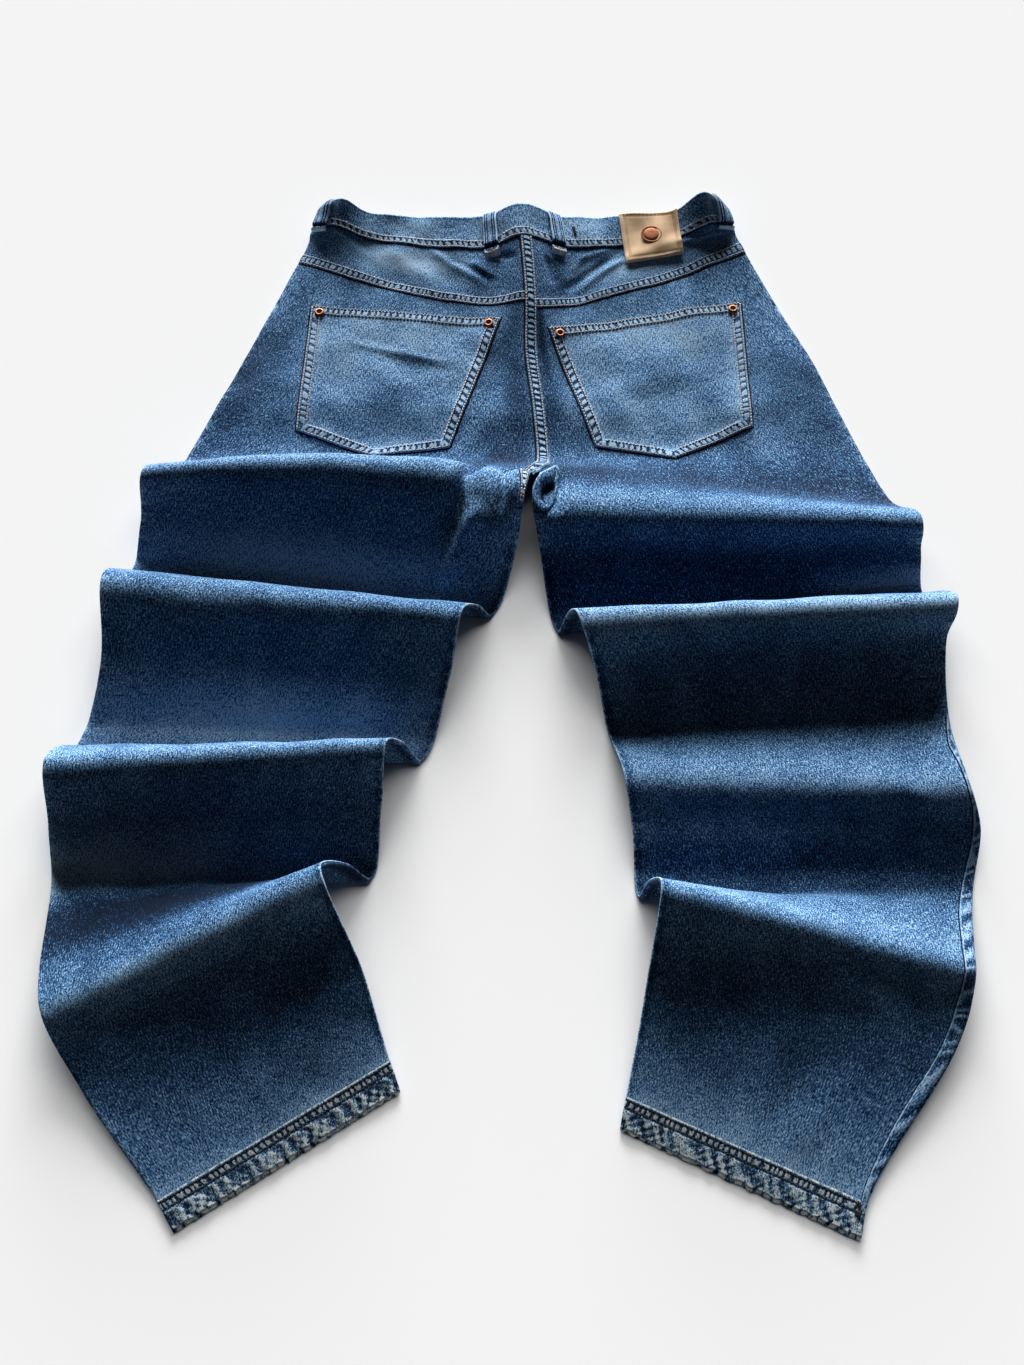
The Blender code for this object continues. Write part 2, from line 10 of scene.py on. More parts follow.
import bmesh
import bpy
import numpy as np
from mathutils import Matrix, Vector


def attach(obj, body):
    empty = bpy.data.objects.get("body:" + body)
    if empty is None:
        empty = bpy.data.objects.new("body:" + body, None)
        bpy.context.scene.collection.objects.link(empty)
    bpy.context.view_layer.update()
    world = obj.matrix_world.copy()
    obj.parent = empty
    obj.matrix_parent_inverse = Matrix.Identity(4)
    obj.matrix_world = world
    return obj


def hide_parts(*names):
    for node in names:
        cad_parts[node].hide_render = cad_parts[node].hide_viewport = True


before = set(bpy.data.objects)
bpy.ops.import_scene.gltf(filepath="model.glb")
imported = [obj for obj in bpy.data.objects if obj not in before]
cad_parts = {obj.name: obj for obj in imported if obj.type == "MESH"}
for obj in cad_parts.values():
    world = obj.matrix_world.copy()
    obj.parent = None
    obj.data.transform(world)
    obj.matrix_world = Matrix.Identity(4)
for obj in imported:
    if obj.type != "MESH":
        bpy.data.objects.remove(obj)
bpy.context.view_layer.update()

# ---------------------------------------------------------------- sizes of the part
CLOTH = 0.0016              # one layer of denim
SEAM_GAP = 0.0003           # between pieces that are sewn together
BAND_THICKNESS = 0.0026     # waistband, two layers pressed
HEM_RISE = 0.0008           # the turned-up hem stands above the leg
LAID_ON = 0.0008            # under a piece that lies on a panel
POCKET_THICKNESS = 0.0016
LOOP_WIDTH = 0.015
LOOP_THICKNESS = 0.0016
LOOP_ARCH = 0.0036          # room for a thin belt under the loops
LOOP_FLAT = 1.35            # how soon a loop's arch reaches its full height
LOOP_ROUND = 0.8
PATCH_THICKNESS = 0.0018
RIVET_RADIUS = 0.0047
RIVET_HEIGHT = 0.0009
BUTTON_RADIUS = 0.0085
BUTTON_HEIGHT = 0.0024
BUTTON_LIFT = 0.0034        # the front waist stands on the button by this much
LIFT_SPREAD = 0.035
ORNAMENT_RADIUS = 0.0105
ORNAMENT_HEIGHT = 0.0006
FRONT_DIP = 0.022           # the front waist is lower than the back at the centre
STACK = 2 * CLOTH + SEAM_GAP    # a leg's two layers, lying on each other
ON_BAND = BAND_THICKNESS - CLOTH    # the waistband stands above the leg by this much
MIDDLE = np.array((-0.0013, 0.0194, 0.0))   # brings the middle of the garment to the frame's origin

# A section across a leg: its inner and its outer end as x, y and z, how far its middle bows out,
# how late its height turns from the inner end's to the outer end's, its bumps at the centre seam
# and at the side seam, how far the front layer follows the back one, from 0 flat on the floor to
# 1 close under it, and how far the back of a steep crest bulges.
Row = namedtuple(
    "Row", "name inner outer bow_y bow_z turn ridge side stacked nose", defaults=(0, 0, 1, 0, 0, 1, 0))

WAIST_ROWS = {
    "left": (
        Row("top", (0.009, 0.488, 0.014), (-0.191, 0.497, 0.015), -0.004, 0, 6, 0.019, 0.020, 0, 0),
        Row("band", (0.0125, 0.447, 0.012), (-0.199, 0.475, 0.012), -0.010, 0, 6, 0.019, 0.012, 0, 0),
        Row("yoke", (0.017, 0.371, 0.009), (-0.211, 0.436, 0.006), -0.013, 0, 6, 0.013, 0.002, 0, 0),
        Row("seat", (0.017, 0.316, 0.009), (-0.245, 0.342, 0.0045), 0, 0, 6, 0.002, 0, 0, 0),
        Row("hips", (0.024, 0.242, 0.009), (-0.275, 0.260, 0.0045), 0, 0, 6, 0, 0, 0, 0),
    ),
    "right": (
        Row("top", (0.009, 0.488, 0.014), (0.213, 0.499, 0.015), -0.004, 0, 6, 0.019, 0.028, 0, 0),
        Row("band", (0.0125, 0.447, 0.012), (0.221, 0.477, 0.012), -0.010, 0, 6, 0.019, 0.014, 0, 0),
        Row("yoke", (0.017, 0.371, 0.009), (0.231, 0.449, 0.006), -0.013, 0, 6, 0.013, 0.002, 0, 0),
        Row("seat", (0.017, 0.316, 0.009), (0.278, 0.331, 0.0045), 0, 0, 6, 0.002, 0, 0, 0),
        Row("hips", (0.024, 0.242, 0.009), (0.305, 0.254, 0.0045), 0, 0, 6, 0, 0, 0, 0),
    ),
}

LEG_ROWS = {
    "left": (
        Row("nip", (0.0270, 0.182, 0.0100), (-0.304, 0.184, 0.0060), turn=6, stacked=0.2),
        Row("fork", (0.0240, 0.161, 0.028), (-0.313, 0.163, 0.026), bow_z=0.004, stacked=0.8),
        Row("crest 1", (0.019, 0.141, 0.043), (-0.325, 0.145, 0.050), bow_y=0.006, bow_z=0.010),
        Row("front 1", (0.004, 0.071, 0.022), (-0.333, 0.100, 0.022)),
        Row("foot 1", (-0.018, 0.014, 0.0036), (-0.341, 0.058, 0.0036)),
        Row("crest 2", (-0.040, -0.009, 0.050), (-0.353, 0.027, 0.050), nose=0.006),
        Row("front 2", (-0.054, -0.067, 0.024), (-0.352, -0.050, 0.024)),
        Row("foot 2", (-0.077, -0.134, 0.0036), (-0.369, -0.122, 0.0036)),
        Row("crest 3", (-0.101, -0.143, 0.054), (-0.380, -0.157, 0.050), nose=0.008),
        Row("front 3", (-0.107, -0.192, 0.026), (-0.377, -0.208, 0.024)),
        Row("foot 3", (-0.115, -0.244, 0.0036), (-0.373, -0.254, 0.0036)),
        Row("crest 4", (-0.148, -0.255, 0.054), (-0.366, -0.345, 0.030), nose=0.006),
        Row("front 4", (-0.115, -0.339, 0.024), (-0.324, -0.432, 0.016)),
        Row("hem", (-0.094, -0.402, 0.0070), (-0.263, -0.511, 0.0050)),
        Row("end", (-0.086, -0.424, 0.0040), (-0.250, -0.532, 0.0040)),
    ),
    "right": (
        Row("nip", (0.0280, 0.182, 0.0100), (0.328, 0.182, 0.0055), turn=6, stacked=0.2),
        Row("fork", (0.0270, 0.161, 0.028), (0.343, 0.136, 0.012), bow_z=0.002, stacked=0.8),
        Row("crest 1", (0.025, 0.122, 0.044), (0.358, 0.096, 0.046)),
        Row("front 1", (0.027, 0.058, 0.022), (0.362, 0.066, 0.026)),
        Row("foot 1", (0.040, -0.003, 0.0036), (0.365, 0.033, 0.0036)),
        Row("crest 2", (0.053, -0.015, 0.054), (0.381, 0.004, 0.050), nose=0.006),
        Row("front 2", (0.071, -0.057, 0.028), (0.373, -0.029, 0.028)),
        Row("foot 2", (0.081, -0.103, 0.006), (0.372, -0.091, 0.006)),
        Row("crest 3", (0.092, -0.160, 0.030), (0.375, -0.168, 0.030)),
        Row("front 3", (0.099, -0.208, 0.016), (0.383, -0.206, 0.016)),
        Row("foot 3", (0.102, -0.260, 0.0036), (0.373, -0.254, 0.0036)),
        Row("crest 4", (0.115, -0.269, 0.054), (0.362, -0.318, 0.026), nose=0.006),
        Row("front 4", (0.103, -0.355, 0.024), (0.340, -0.397, 0.016)),
        Row("hem", (0.087, -0.431, 0.0070), (0.263, -0.513, 0.0050)),
        Row("end", (0.082, -0.454, 0.0040), (0.256, -0.538, 0.0040)),
    ),
}

RIDGE_SPREAD = 0.13         # of a section, for the bump at the centre seam
SIDE_PLACE = 0.90           # of a section, for the bump at the side seam
SIDE_SPREAD = 0.10
SIDE_FALL = 24              # how late that bump falls to the side seam
SEAM_TURN = 14              # how late the front panel rises to the side seam
NOSE_HEIGHT = 0.52          # of a crest, where its back bulges

# Corners on the floor plan, in metres.
Pocket = namedtuple("Pocket", "top_outer top_inner bottom_inner tip bottom_outer")
POCKETS = {
    "left": Pocket((-0.195, 0.373), (-0.011, 0.354), (-0.058, 0.200), (-0.129, 0.188), (-0.202, 0.221)),
    "right": Pocket((0.223, 0.378), (0.035, 0.340), (0.078, 0.201), (0.151, 0.184), (0.225, 0.223)),
}
PATCH_CORNERS = ((0.107, 0.490), (0.166, 0.494), (0.170, 0.441), (0.113, 0.427))
PATCH_SIZE = (0.059, 0.057)     # across and down
Loop = namedtuple("Loop", "name side u")
LOOPS = (
    Loop("left_back_loop", "left", 0.150),
    Loop("right_back_loop", "right", 0.155),
    Loop("left_side_loop", "left", 0.955),
    Loop("right_side_loop", "right", 0.955),
)
LOOP_OVERHANG = 0.014       # of a loop, below the waistband
LOOP_DIP = 0.80             # where along a loop it goes under, as a share of its length
FRAY = (0.870, 0.985)       # where along a loop its frayed end starts and stops
BAND_FOLD = 0.0012          # the waistband's fold stands out past the side seam
BAND_STOP = 0.985           # where across a leg the waistband turns to its fold
FLY_START = 0.002           # below the waistband
FLY_LENGTH = 0.155
# Where the fly shield's lines lie on the legs, as u, from its left edge to its right one.
FLY_EDGES = (("left", 0.15), ("left", 0.10), ("left", 0.05), ("left", 0.0), ("right", 0.025), ("right", 0.05))
# How wide half of the seat is down the centre seam, as t and metres.
SEAT_WIDTHS = ((0.05, 0.205), (0.12, 0.225), (0.25, 0.290), (0.35, 0.330))
YOKE_DROP = (0.0084, 0.050)     # the right yoke's seam starts lower at the centre, and how far that reaches

# ---------------------------------------------------------------- sizes of the dressing
PANEL_GRAIN = 0.0034        # mesh step of a back panel
CROTCH_GRAIN = 0.0018       # mesh step where the small folds at the crotch are
CROTCH_WIDE = 0.22          # how far across a leg these folds reach, as u
CROTCH_LONG = (0.34, 0.46)  # where down a leg they start and stop, as t
EDGE_GRAIN = 0.0010         # mesh step beside a seam
EDGE_WIDE = 0.0194          # how far across a leg the strip beside its seam reaches, as u
FRONT_GRAIN = 0.0065        # the front lies under the back, so its mesh is coarser
YOKE_GRAIN = 0.0019
BAND_FRONT_GRAIN = 0.004    # mesh step along the front of the waistband
FINE_GRAIN = 0.0013         # mesh step where a seam's ripples show
SEAM_STEP = 0.0007          # mesh step across a seam
WEB = 0.31                  # metres across a leg, for distances between creases
YOKE_WEB = 0.24             # metres across a yoke
POCKET_WEB = 0.18           # metres across a pocket
LEG_WEAR = 0.48             # how faded each piece is, from 0 dark to 1 white
POCKET_WEAR = 0.61
BAND_WEAR = 0.62
STITCH = 0.0034             # one stitch and its gap
THREAD = 0.00064            # radius of a stitch; the thread is 0.6 mm, drawn wider so that it shows
FELL = 0.0105               # width of a felled seam
FELL_RISE = 0.0009
FELL_ROWS = (0.0009, 0.0088)        # its stitches, from its folded edge
HEM_WIDTH = 0.0258          # to where it has turned down over the panel's end
HEM_TURN = 0.0018           # how much of that is turned down
HEM_ROWS = (0.0026, 0.0086)         # its stitches, from its upper edge
BAND_TICKS = (0.0062, 0.35, 91)     # spacing and slant of the waistband's ticks, and their seed
# Spacing and slant of the ticks at a pocket's edges, from the top one round.
POCKET_TICKS = ((0.0058, 0.1), (0.0080, 0.5), (0.0066, 0.3), (0.0066, 0.3), (0.0080, 0.5))
MARGIN = 0.0018             # the dark line beside a folded edge: partly unfaded indigo, partly painted shadow under that edge

# How a seam has faded across its strip, in millimetres from its folded edge: tones from -1
# dark to 1 pale, then where its ticks show, how strong they are, and how far the strip reaches.
Strip = namedtuple("Strip", "reach tones ticks gain")
# The felled seam's dark line before 0 mm is partly unfaded indigo and partly painted shadow under its folded
# edge.
FELLED = Strip(
    12.0,
    ((-1.8, -1.0), (-0.4, -1.0), (0.0, 0.3), (1.5, 0.3), (1.9, -0.6), (2.4, -0.4), (2.9, 0.0),
     (7.2, 0.0), (7.6, -0.5), (8.0, -0.5), (8.4, 0.3), (9.3, 0.3), (9.9, 0.0)),
    ((2.0, 0), (2.7, 1), (7.3, 1), (7.9, 0)), 0.95)
LOOPED = Strip(
    8.0,
    ((0.0, 0.9), (1.1, 0.8), (1.6, -0.7), (2.3, -0.6), (2.8, 0.35), (3.6, 0.3), (4.1, -0.6), (4.8, -0.2),
     (5.6, 0.25), (7.5, 0.3)),
    ((0.0, 0), (8.0, 0)), 0.0)
HEMMED = Strip(
    24.0,
    ((-1.8, 0.1), (0.0, 0.36), (1.4, 0.34), (1.9, -0.45), (3.2, -0.45), (3.8, 0.0), (7.6, 0.0),
     (8.0, -0.4), (9.2, -0.4), (9.8, 0.0), (21.0, 0.0), (23.5, 0.2)),
    ((3.2, 0), (3.9, 1), (7.4, 1), (8.0, 0)), 0.8)
PRESSED = Strip(
    14.0,
    ((-1.8, 0.0), (0.0, -0.95), (0.9, -0.95), (1.3, 0.45), (2.3, 0.4), (3.2, 0.0)),
    ((0.0, 0), (14.0, 0)), 0.0)

# Creases, each from (u0, t0) to (u1, t1), with half width and height in metres.
Crease = namedtuple("Crease", "u0 t0 u1 t1 wide high")
CREASES = {
    "left": (
        # from the crotch across the first fold: a lit swell, a ridge and the notch beside it
        Crease(-0.16, 0.352, 0.13, 0.352, 0.0130, -0.0070),
        Crease(-0.15, 0.366, 0.160, 0.434, 0.0280, 0.0200),
        Crease(0.120, 0.395, 0.182, 0.475, 0.0080, 0.0085),
        Crease(0.152, 0.330, 0.176, 0.430, 0.0070, -0.0110),
        Crease(0.074, 0.345, 0.050, 0.412, 0.0028, -0.0044),
        Crease(0.042, 0.345, 0.030, 0.400, 0.0040, 0.0026),
        # rounder shoulders under the crests
        Crease(0.12, 0.350, 0.90, 0.350, 0.0120, 0.0034),
        Crease(-0.50, 0.386, 1.50, 0.386, 0.0170, 0.0046),
        Crease(-0.50, 0.573, 1.50, 0.575, 0.0165, 0.0040),
        Crease(-0.50, 0.772, 1.50, 0.772, 0.0175, 0.0044),
        Crease(-0.50, 0.956, 1.50, 0.956, 0.0200, 0.0062),
        # on the yoke and the seat
        Crease(0.48, 0.040, 0.16, 0.094, 0.0070, 0.0026),
        Crease(0.40, 0.052, 0.12, 0.092, 0.0060, -0.0021),
        Crease(0.26, 0.058, 0.14, 0.086, 0.0045, 0.0022),
        Crease(0.20, 0.050, 0.03, 0.066, 0.0050, -0.0020),
        Crease(0.05, 0.128, 0.17, 0.260, 0.0100, -0.0014),
        Crease(0.10, 0.240, 0.30, 0.320, 0.0120, 0.0016),
        Crease(0.70, 0.176, 0.26, 0.198, 0.0045, 0.0012),
        Crease(0.56, 0.190, 0.22, 0.210, 0.0075, -0.0010),
        # dents under the crests of the folds
        Crease(0.80, 0.566, 0.55, 0.574, 0.0120, -0.0016),
        Crease(0.30, 0.575, 0.02, 0.590, 0.0110, -0.0016),
        Crease(0.10, 0.640, 0.70, 0.655, 0.0180, 0.0012),
        Crease(0.20, 0.800, 0.80, 0.822, 0.0200, -0.0014),
        Crease(0.15, 0.960, 0.90, 1.000, 0.0220, -0.0016),
        Crease(0.05, 1.035, 0.60, 1.070, 0.0140, 0.0012),
        # the third fold runs out gently before the slanting fourth
        Crease(0.20, 0.892, 1.50, 0.900, 0.0300, 0.0030),
    ),
    "right": (
        # the hollow that the curl at the crotch opens into
        Crease(0.042, 0.340, 0.046, 0.408, 0.0080, -0.0070),
        # rounder shoulders under the crests
        Crease(-0.50, 0.406, 1.50, 0.406, 0.0200, 0.0084),
        Crease(-0.50, 0.589, 1.50, 0.589, 0.0190, 0.0092),
        Crease(-0.50, 0.746, 1.50, 0.746, 0.0150, 0.0022),
        Crease(-0.50, 0.911, 1.50, 0.911, 0.0175, 0.0050),
        # on the yoke and the seat
        Crease(0.13, 0.108, 0.44, 0.052, 0.0050, -0.0022),
        Crease(0.18, 0.112, 0.50, 0.060, 0.0055, 0.0018),
        Crease(0.22, 0.060, 0.42, 0.044, 0.0040, 0.0012),
        Crease(0.10, 0.058, 0.13, 0.100, 0.0075, -0.0032),
        Crease(0.30, 0.046, 0.20, 0.078, 0.0050, 0.0012),
        Crease(0.70, 0.050, 0.98, 0.075, 0.0070, 0.0014),
        Crease(0.05, 0.135, 0.12, 0.300, 0.0090, 0.0014),
        Crease(0.040, 0.120, 0.048, 0.235, 0.0050, -0.0026),
        Crease(0.072, 0.120, 0.066, 0.260, 0.0060, 0.0018),
        Crease(0.82, 0.450, 0.92, 0.415, 0.0060, 0.0036),
        Crease(0.62, 0.500, 1.30, 0.476, 0.0160, 0.0050),
        Crease(0.80, 0.400, 0.95, 0.440, 0.0120, -0.0022),
        Crease(0.10, 0.585, 0.70, 0.592, 0.0140, -0.0014),
        Crease(0.75, 0.735, 0.99, 0.775, 0.0150, 0.0026),
        Crease(0.10, 0.905, 0.85, 0.960, 0.0220, -0.0018),
        Crease(0.45, 0.925, 0.95, 0.990, 0.0160, 0.0020),
        Crease(0.55, 1.020, 0.95, 1.050, 0.0120, 0.0012),
    ),
}

# How far the first fold hangs over at the crotch, to the left, and how far round that reaches.
CROTCH_SWAY = {"left": 0.0035, "right": 0.0065}
SWAY_PLACE = 0.39
SWAY_REACH = (0.12, 0.03)

# Places made paler or darker than the rest: some have faded in the wash, others are painted shade and painted
# highlights, with half sizes across and along in metres.
Fade = namedtuple("Fade", "u t across along amount")
FADES_AND_PAINTED_LIGHT = {
    "left": (
        # paler and darker places on the yoke, the seat and the pocket
        Fade(0.55, 0.070, 0.070, 0.024, 0.60),
        Fade(0.20, 0.074, 0.014, 0.012, -0.34),
        Fade(0.96, 0.225, 0.034, 0.065, -0.34),
        Fade(0.06, 0.225, 0.014, 0.060, -0.34),
        Fade(0.10, 0.300, 0.022, 0.016, -0.34),
        Fade(0.54, 0.172, 0.060, 0.020, 0.22),
        Fade(0.48, 0.245, 0.036, 0.026, -0.20),
        # painted shade and painted highlights on the folds, down to the hem
        Fade(0.50, 0.322, 0.600, 0.020, -0.34),
        Fade(0.58, 0.462, 0.130, 0.026, 0.46),
        Fade(0.50, 0.556, 0.600, 0.012, -0.14),
        Fade(0.50, 0.655, 0.180, 0.026, 0.42),
        Fade(0.50, 0.753, 0.600, 0.012, -0.02),
        Fade(0.88, 0.850, 0.120, 0.026, 0.50),
        Fade(0.66, 0.900, 0.160, 0.026, -0.80),
        Fade(0.50, 0.940, 0.600, 0.014, -0.14),
        Fade(0.55, 0.958, 0.300, 0.012, 0.24),
        Fade(0.45, 1.022, 0.220, 0.030, -0.34),
    ),
    "right": (
        # paler and darker places on the yoke and the seat
        Fade(0.55, 0.082, 0.070, 0.024, 0.46),
        Fade(0.15, 0.095, 0.012, 0.018, -0.40),
        Fade(0.93, 0.240, 0.030, 0.065, -0.22),
        Fade(0.04, 0.240, 0.012, 0.060, -0.30),
        # painted shade in the crease beside the centre seam, and painted highlights behind the first fold and
        # under the second crest
        Fade(0.045, 0.158, 0.005, 0.024, -0.45),
        Fade(0.92, 0.478, 0.060, 0.018, 0.72),
        Fade(0.50, 0.580, 0.500, 0.010, 0.26),
        # paler and darker places on the pocket
        Fade(0.50, 0.215, 0.040, 0.026, -0.10),
        Fade(0.50, 0.165, 0.060, 0.018, 0.20),
        # painted shade and painted highlights on the folds, down to the hem
        Fade(0.50, 0.338, 0.600, 0.030, -0.40),
        Fade(0.45, 0.460, 0.240, 0.034, -0.40),
        Fade(0.50, 0.815, 0.200, 0.030, -0.30),
        Fade(0.45, 0.985, 0.250, 0.036, -0.24),
        Fade(0.50, 1.044, 0.250, 0.014, 0.14),
    ),
}


# ---------------------------------------------------------------- the surface
class Leg:
    """The surface of one leg with its half of the seat, for arrays of u and t."""

    def __init__(self, name, seed):
        self.name = name
        self.sign = 1 if name == "left" else -1
        rows = self.with_noses(WAIST_ROWS[name] + LEG_ROWS[name])
        self.inner = np.array([row.inner for row in rows])
        self.outer = np.array([row.outer for row in rows])
        facts = [(row.bow_y, row.bow_z, row.turn, row.ridge, row.side, row.stacked) for row in rows]
        self.facts = np.array(facts)
        gaps = np.linalg.norm(np.diff(self.inner, axis=0), axis=1)
        self.marks = np.concatenate(([0.0], np.cumsum(gaps)))
        self.at = {row.name: float(mark) for row, mark in zip(rows, self.marks)}
        draw = np.random.RandomState(seed)
        waves = 16
        length = draw.uniform(0.028, 0.095, waves)
        angle = draw.uniform(0, math.pi, waves)
        self.waves = np.stack((
            np.cos(angle) / length, np.sin(angle) / length, draw.uniform(0, 1, waves), 0.0042 * length,
        ), -1)

    @staticmethod
    def with_noses(rows):
        """Add a section half way up the back of each crest that stands steeply."""
        full = []
        for row in rows:
            if row.nose:
                foot = full[-1]
                ends = []
                for low, high in ((foot.inner, row.inner), (foot.outer, row.outer)):
                    y = max(high[1], 0.5 * (low[1] + high[1])) + row.nose
                    ends.append((0.5 * (low[0] + high[0]), min(y, low[1] + row.nose), NOSE_HEIGHT * high[2]))
                full.append(row._replace(name=row.name + " back", inner=ends[0], outer=ends[1], nose=0))
            full.append(row)
        return full

    def section(self, k, u):
        """Return points of the sections k at u, with how far the front follows."""
        bow_y, bow_z, turn, ridge, side, stacked = np.moveaxis(self.facts[k], -1, 0)
        bow = 4 * u * (1 - u)
        inner, outer = self.inner[k], self.outer[k]
        x = inner[..., 0] + (outer[..., 0] - inner[..., 0]) * u
        y = inner[..., 1] + (outer[..., 1] - inner[..., 1]) * u + bow_y * bow
        z = inner[..., 2] + (outer[..., 2] - inner[..., 2]) * u ** turn + bow_z * bow
        z = z + ridge * bell(u, RIDGE_SPREAD)
        z = z + side * (1 - u ** SIDE_FALL) * bell(u - SIDE_PLACE, SIDE_SPREAD)
        return np.stack((x, y, z, stacked + 0 * u), -1)

    def blend(self, u, t):
        """Return the surface at u and t, smoothed through its sections."""
        u, t = np.broadcast_arrays(np.asarray(u, float), np.asarray(t, float))
        marks, last = self.marks, len(self.marks) - 1
        k = np.clip(np.searchsorted(marks, t, side="left") - 1, 0, last - 1)
        first, final = (k == 0)[..., None], (k == last - 1)[..., None]
        span = (marks[k + 1] - marks[k])[..., None]
        back = np.where(first, 1.0, (marks[k] - marks[np.maximum(k - 1, 0)])[..., None])
        ahead = np.where(final, 1.0, (marks[np.minimum(k + 2, last)] - marks[k + 1])[..., None])
        here, after = self.section(k, u), self.section(k + 1, u)
        before = self.section(np.maximum(k - 1, 0), u)
        beyond = self.section(np.minimum(k + 2, last), u)
        slope = (after - here) / span
        start = np.where(first, slope, (slope * back + (here - before) / back * span) / (back + span))
        end = np.where(final, slope, (slope * ahead + (beyond - after) / ahead * span) / (ahead + span))
        s = (t - marks[k])[..., None] / span
        s2, s3 = s * s, s * s * s
        return (
            here * (2 * s3 - 3 * s2 + 1)
            + start * span * (s3 - 2 * s2 + s)
            + after * (3 * s2 - 2 * s3)
            + end * span * (s3 - s2)
        )

    def place(self, u, t):
        """Return the outer face of the smooth cloth at u and t."""
        point = self.blend(u, t)[..., :3]
        point[..., 0] -= self.sign * SEAM_GAP / 2 * (1 - u)
        sway = bell(np.asarray(u), SWAY_REACH[0]) * bell(np.asarray(t) - SWAY_PLACE, SWAY_REACH[1])
        point[..., 0] -= CROTCH_SWAY[self.name] * sway
        point[..., 2] = np.maximum(point[..., 2], STACK)
        return point + MIDDLE

    def normal(self, u, t):
        """Return the direction out of the cloth at u and t."""
        du, dt = 0.01, 0.001
        low, high = np.maximum(u - du, 0.0), np.minimum(u + du, 1.0)
        across = self.place(high, t) - self.place(low, t)
        along = self.place(u, t + dt) - self.place(u, t - dt)
        out = np.cross(across, along) * self.sign
        return out / np.linalg.norm(out, axis=-1, keepdims=True)

    def wrinkle(self, u, t):
        """Return how far the creases and the cloth's own unevenness stand out."""
        x, y = u * WEB, t
        high = np.zeros(np.broadcast(u, t).shape)
        for along_x, along_y, phase, size in self.waves:
            high = high + size * np.sin(2 * math.pi * (x * along_x + y * along_y + phase))
        high = high * (1 - 0.6 * smooth((t - self.at["hips"]) / 0.06))
        for crease in CREASES[self.name]:
            ax, ay = crease.u0 * WEB, crease.t0
            dx, dy = crease.u1 * WEB - ax, crease.t1 - ay
            length = math.hypot(dx, dy)
            share = ((x - ax) * dx + (y - ay) * dy) / length ** 2
            off = ((x - ax) * dy - (y - ay) * dx) / length
            fade = smooth(1.9 * (1 - np.abs(2 * share - 1)))
            high = high + crease.high * fade * bell(off, crease.wide)
        seat = 1 - smooth((t - self.at["nip"]) / 0.02)
        calm = 1 - seat * (1 - smooth(u / 0.06))
        hem = smooth((self.at["end"] - t) / 0.03)
        return high * calm * (0.25 + 0.75 * hem)

    def out(self, u, t, lift):
        """Return the point at u and t of the creased cloth, moved out by lift."""
        u, t = np.broadcast_arrays(np.asarray(u, float), np.asarray(t, float))
        lift = np.asarray(lift, float) + self.wrinkle(u, t)
        return self.place(u, t) + self.normal(u, t) * lift[..., None]

    def back(self, u, t, depth):
        """Return a point of the back layer, depth below its outer face."""
        point = self.out(u, t, -depth)
        point[..., 2] = np.maximum(point[..., 2], STACK - depth)
        return point

    def front(self, u, t, height):
        """Return a point of the front layer, height above its outer face below."""
        u, t = np.broadcast_arrays(np.asarray(u, float), np.asarray(t, float))
        stacked = np.clip(self.blend(u, t)[..., 3], 0.0, 1.0)
        seam = u ** SEAM_TURN
        seam = np.where(t > self.at["fork"], np.maximum(seam, (1 - u) ** SEAM_TURN), seam)
        share = np.maximum(stacked, seam)[..., None]
        follow = self.out(u, t, height - STACK)
        follow[..., 2] = np.maximum(follow[..., 2], height)
        flat = self.place(u, t)
        waist = np.maximum(0.0, 1 - t / self.at["seat"])
        flat[..., 1] -= FRONT_DIP * waist * (1 - u * u)
        centre = self.place(0.0, 0.5 * self.at["band"])
        reach = np.hypot(flat[..., 0] - centre[0], flat[..., 1] - centre[1] + FRONT_DIP)
        flat[..., 2] = height + BUTTON_LIFT * np.exp(-((reach / LIFT_SPREAD) ** 4))
        return flat * (1 - share) + follow * share

    def find(self, plan):
        """Return u and t of the seat at points of the floor plan."""
        goal = plan + MIDDLE[:2]
        u, t = np.full(plan.shape[:-1], 0.5), np.full(plan.shape[:-1], self.at["seat"])
        step = 0.001
        for _ in range(30):
            here = self.place(u, t)[..., :2]
            du = (self.place(u + step, t)[..., :2] - here) / step
            dt = (self.place(u, t + step)[..., :2] - here) / step
            miss = goal - here
            area = du[..., 0] * dt[..., 1] - du[..., 1] * dt[..., 0]
            u = u + (miss[..., 0] * dt[..., 1] - miss[..., 1] * dt[..., 0]) / area
            t = t + (du[..., 0] * miss[..., 1] - du[..., 1] * miss[..., 0]) / area
        return u, t

    def width(self, t):
        """Return how wide the leg is at t, straight across."""
        ends = self.place(np.array((0.0, 1.0)), np.full(2, float(t)))
        return float(np.linalg.norm(ends[1] - ends[0]))


def smooth(x):
    """Return a smooth step from 0 to 1 while x goes from 0 to 1."""
    x = np.clip(x, 0.0, 1.0)
    return x * x * (3 - 2 * x)


def bell(x, wide):
    """Return a hump that is 1 where x is 0 and fades away a little beyond wide."""
    return np.exp(-((x / wide) ** 2))


def graded(*runs):
    """Return stations along runs of (start, stop, step) that follow one another."""
    stations = [np.linspace(a, b, max(1, round(abs(b - a) / step)), endpoint=False) for a, b, step in runs]
    return np.append(np.concatenate(stations), runs[-1][1])


LEGS = {"left": Leg("left", 11), "right": Leg("right", 23)}


def wander(s, seed, length=0.03):
    """Return an uneven wave of about -1 to 1 along s."""
    draw = np.random.RandomState(seed)
    total = np.zeros(np.shape(s))
    for _ in range(5):
        total = total + np.sin(2 * math.pi * (s / (length * draw.uniform(0.5, 2.2)) + draw.uniform()))
    return total / 3.0


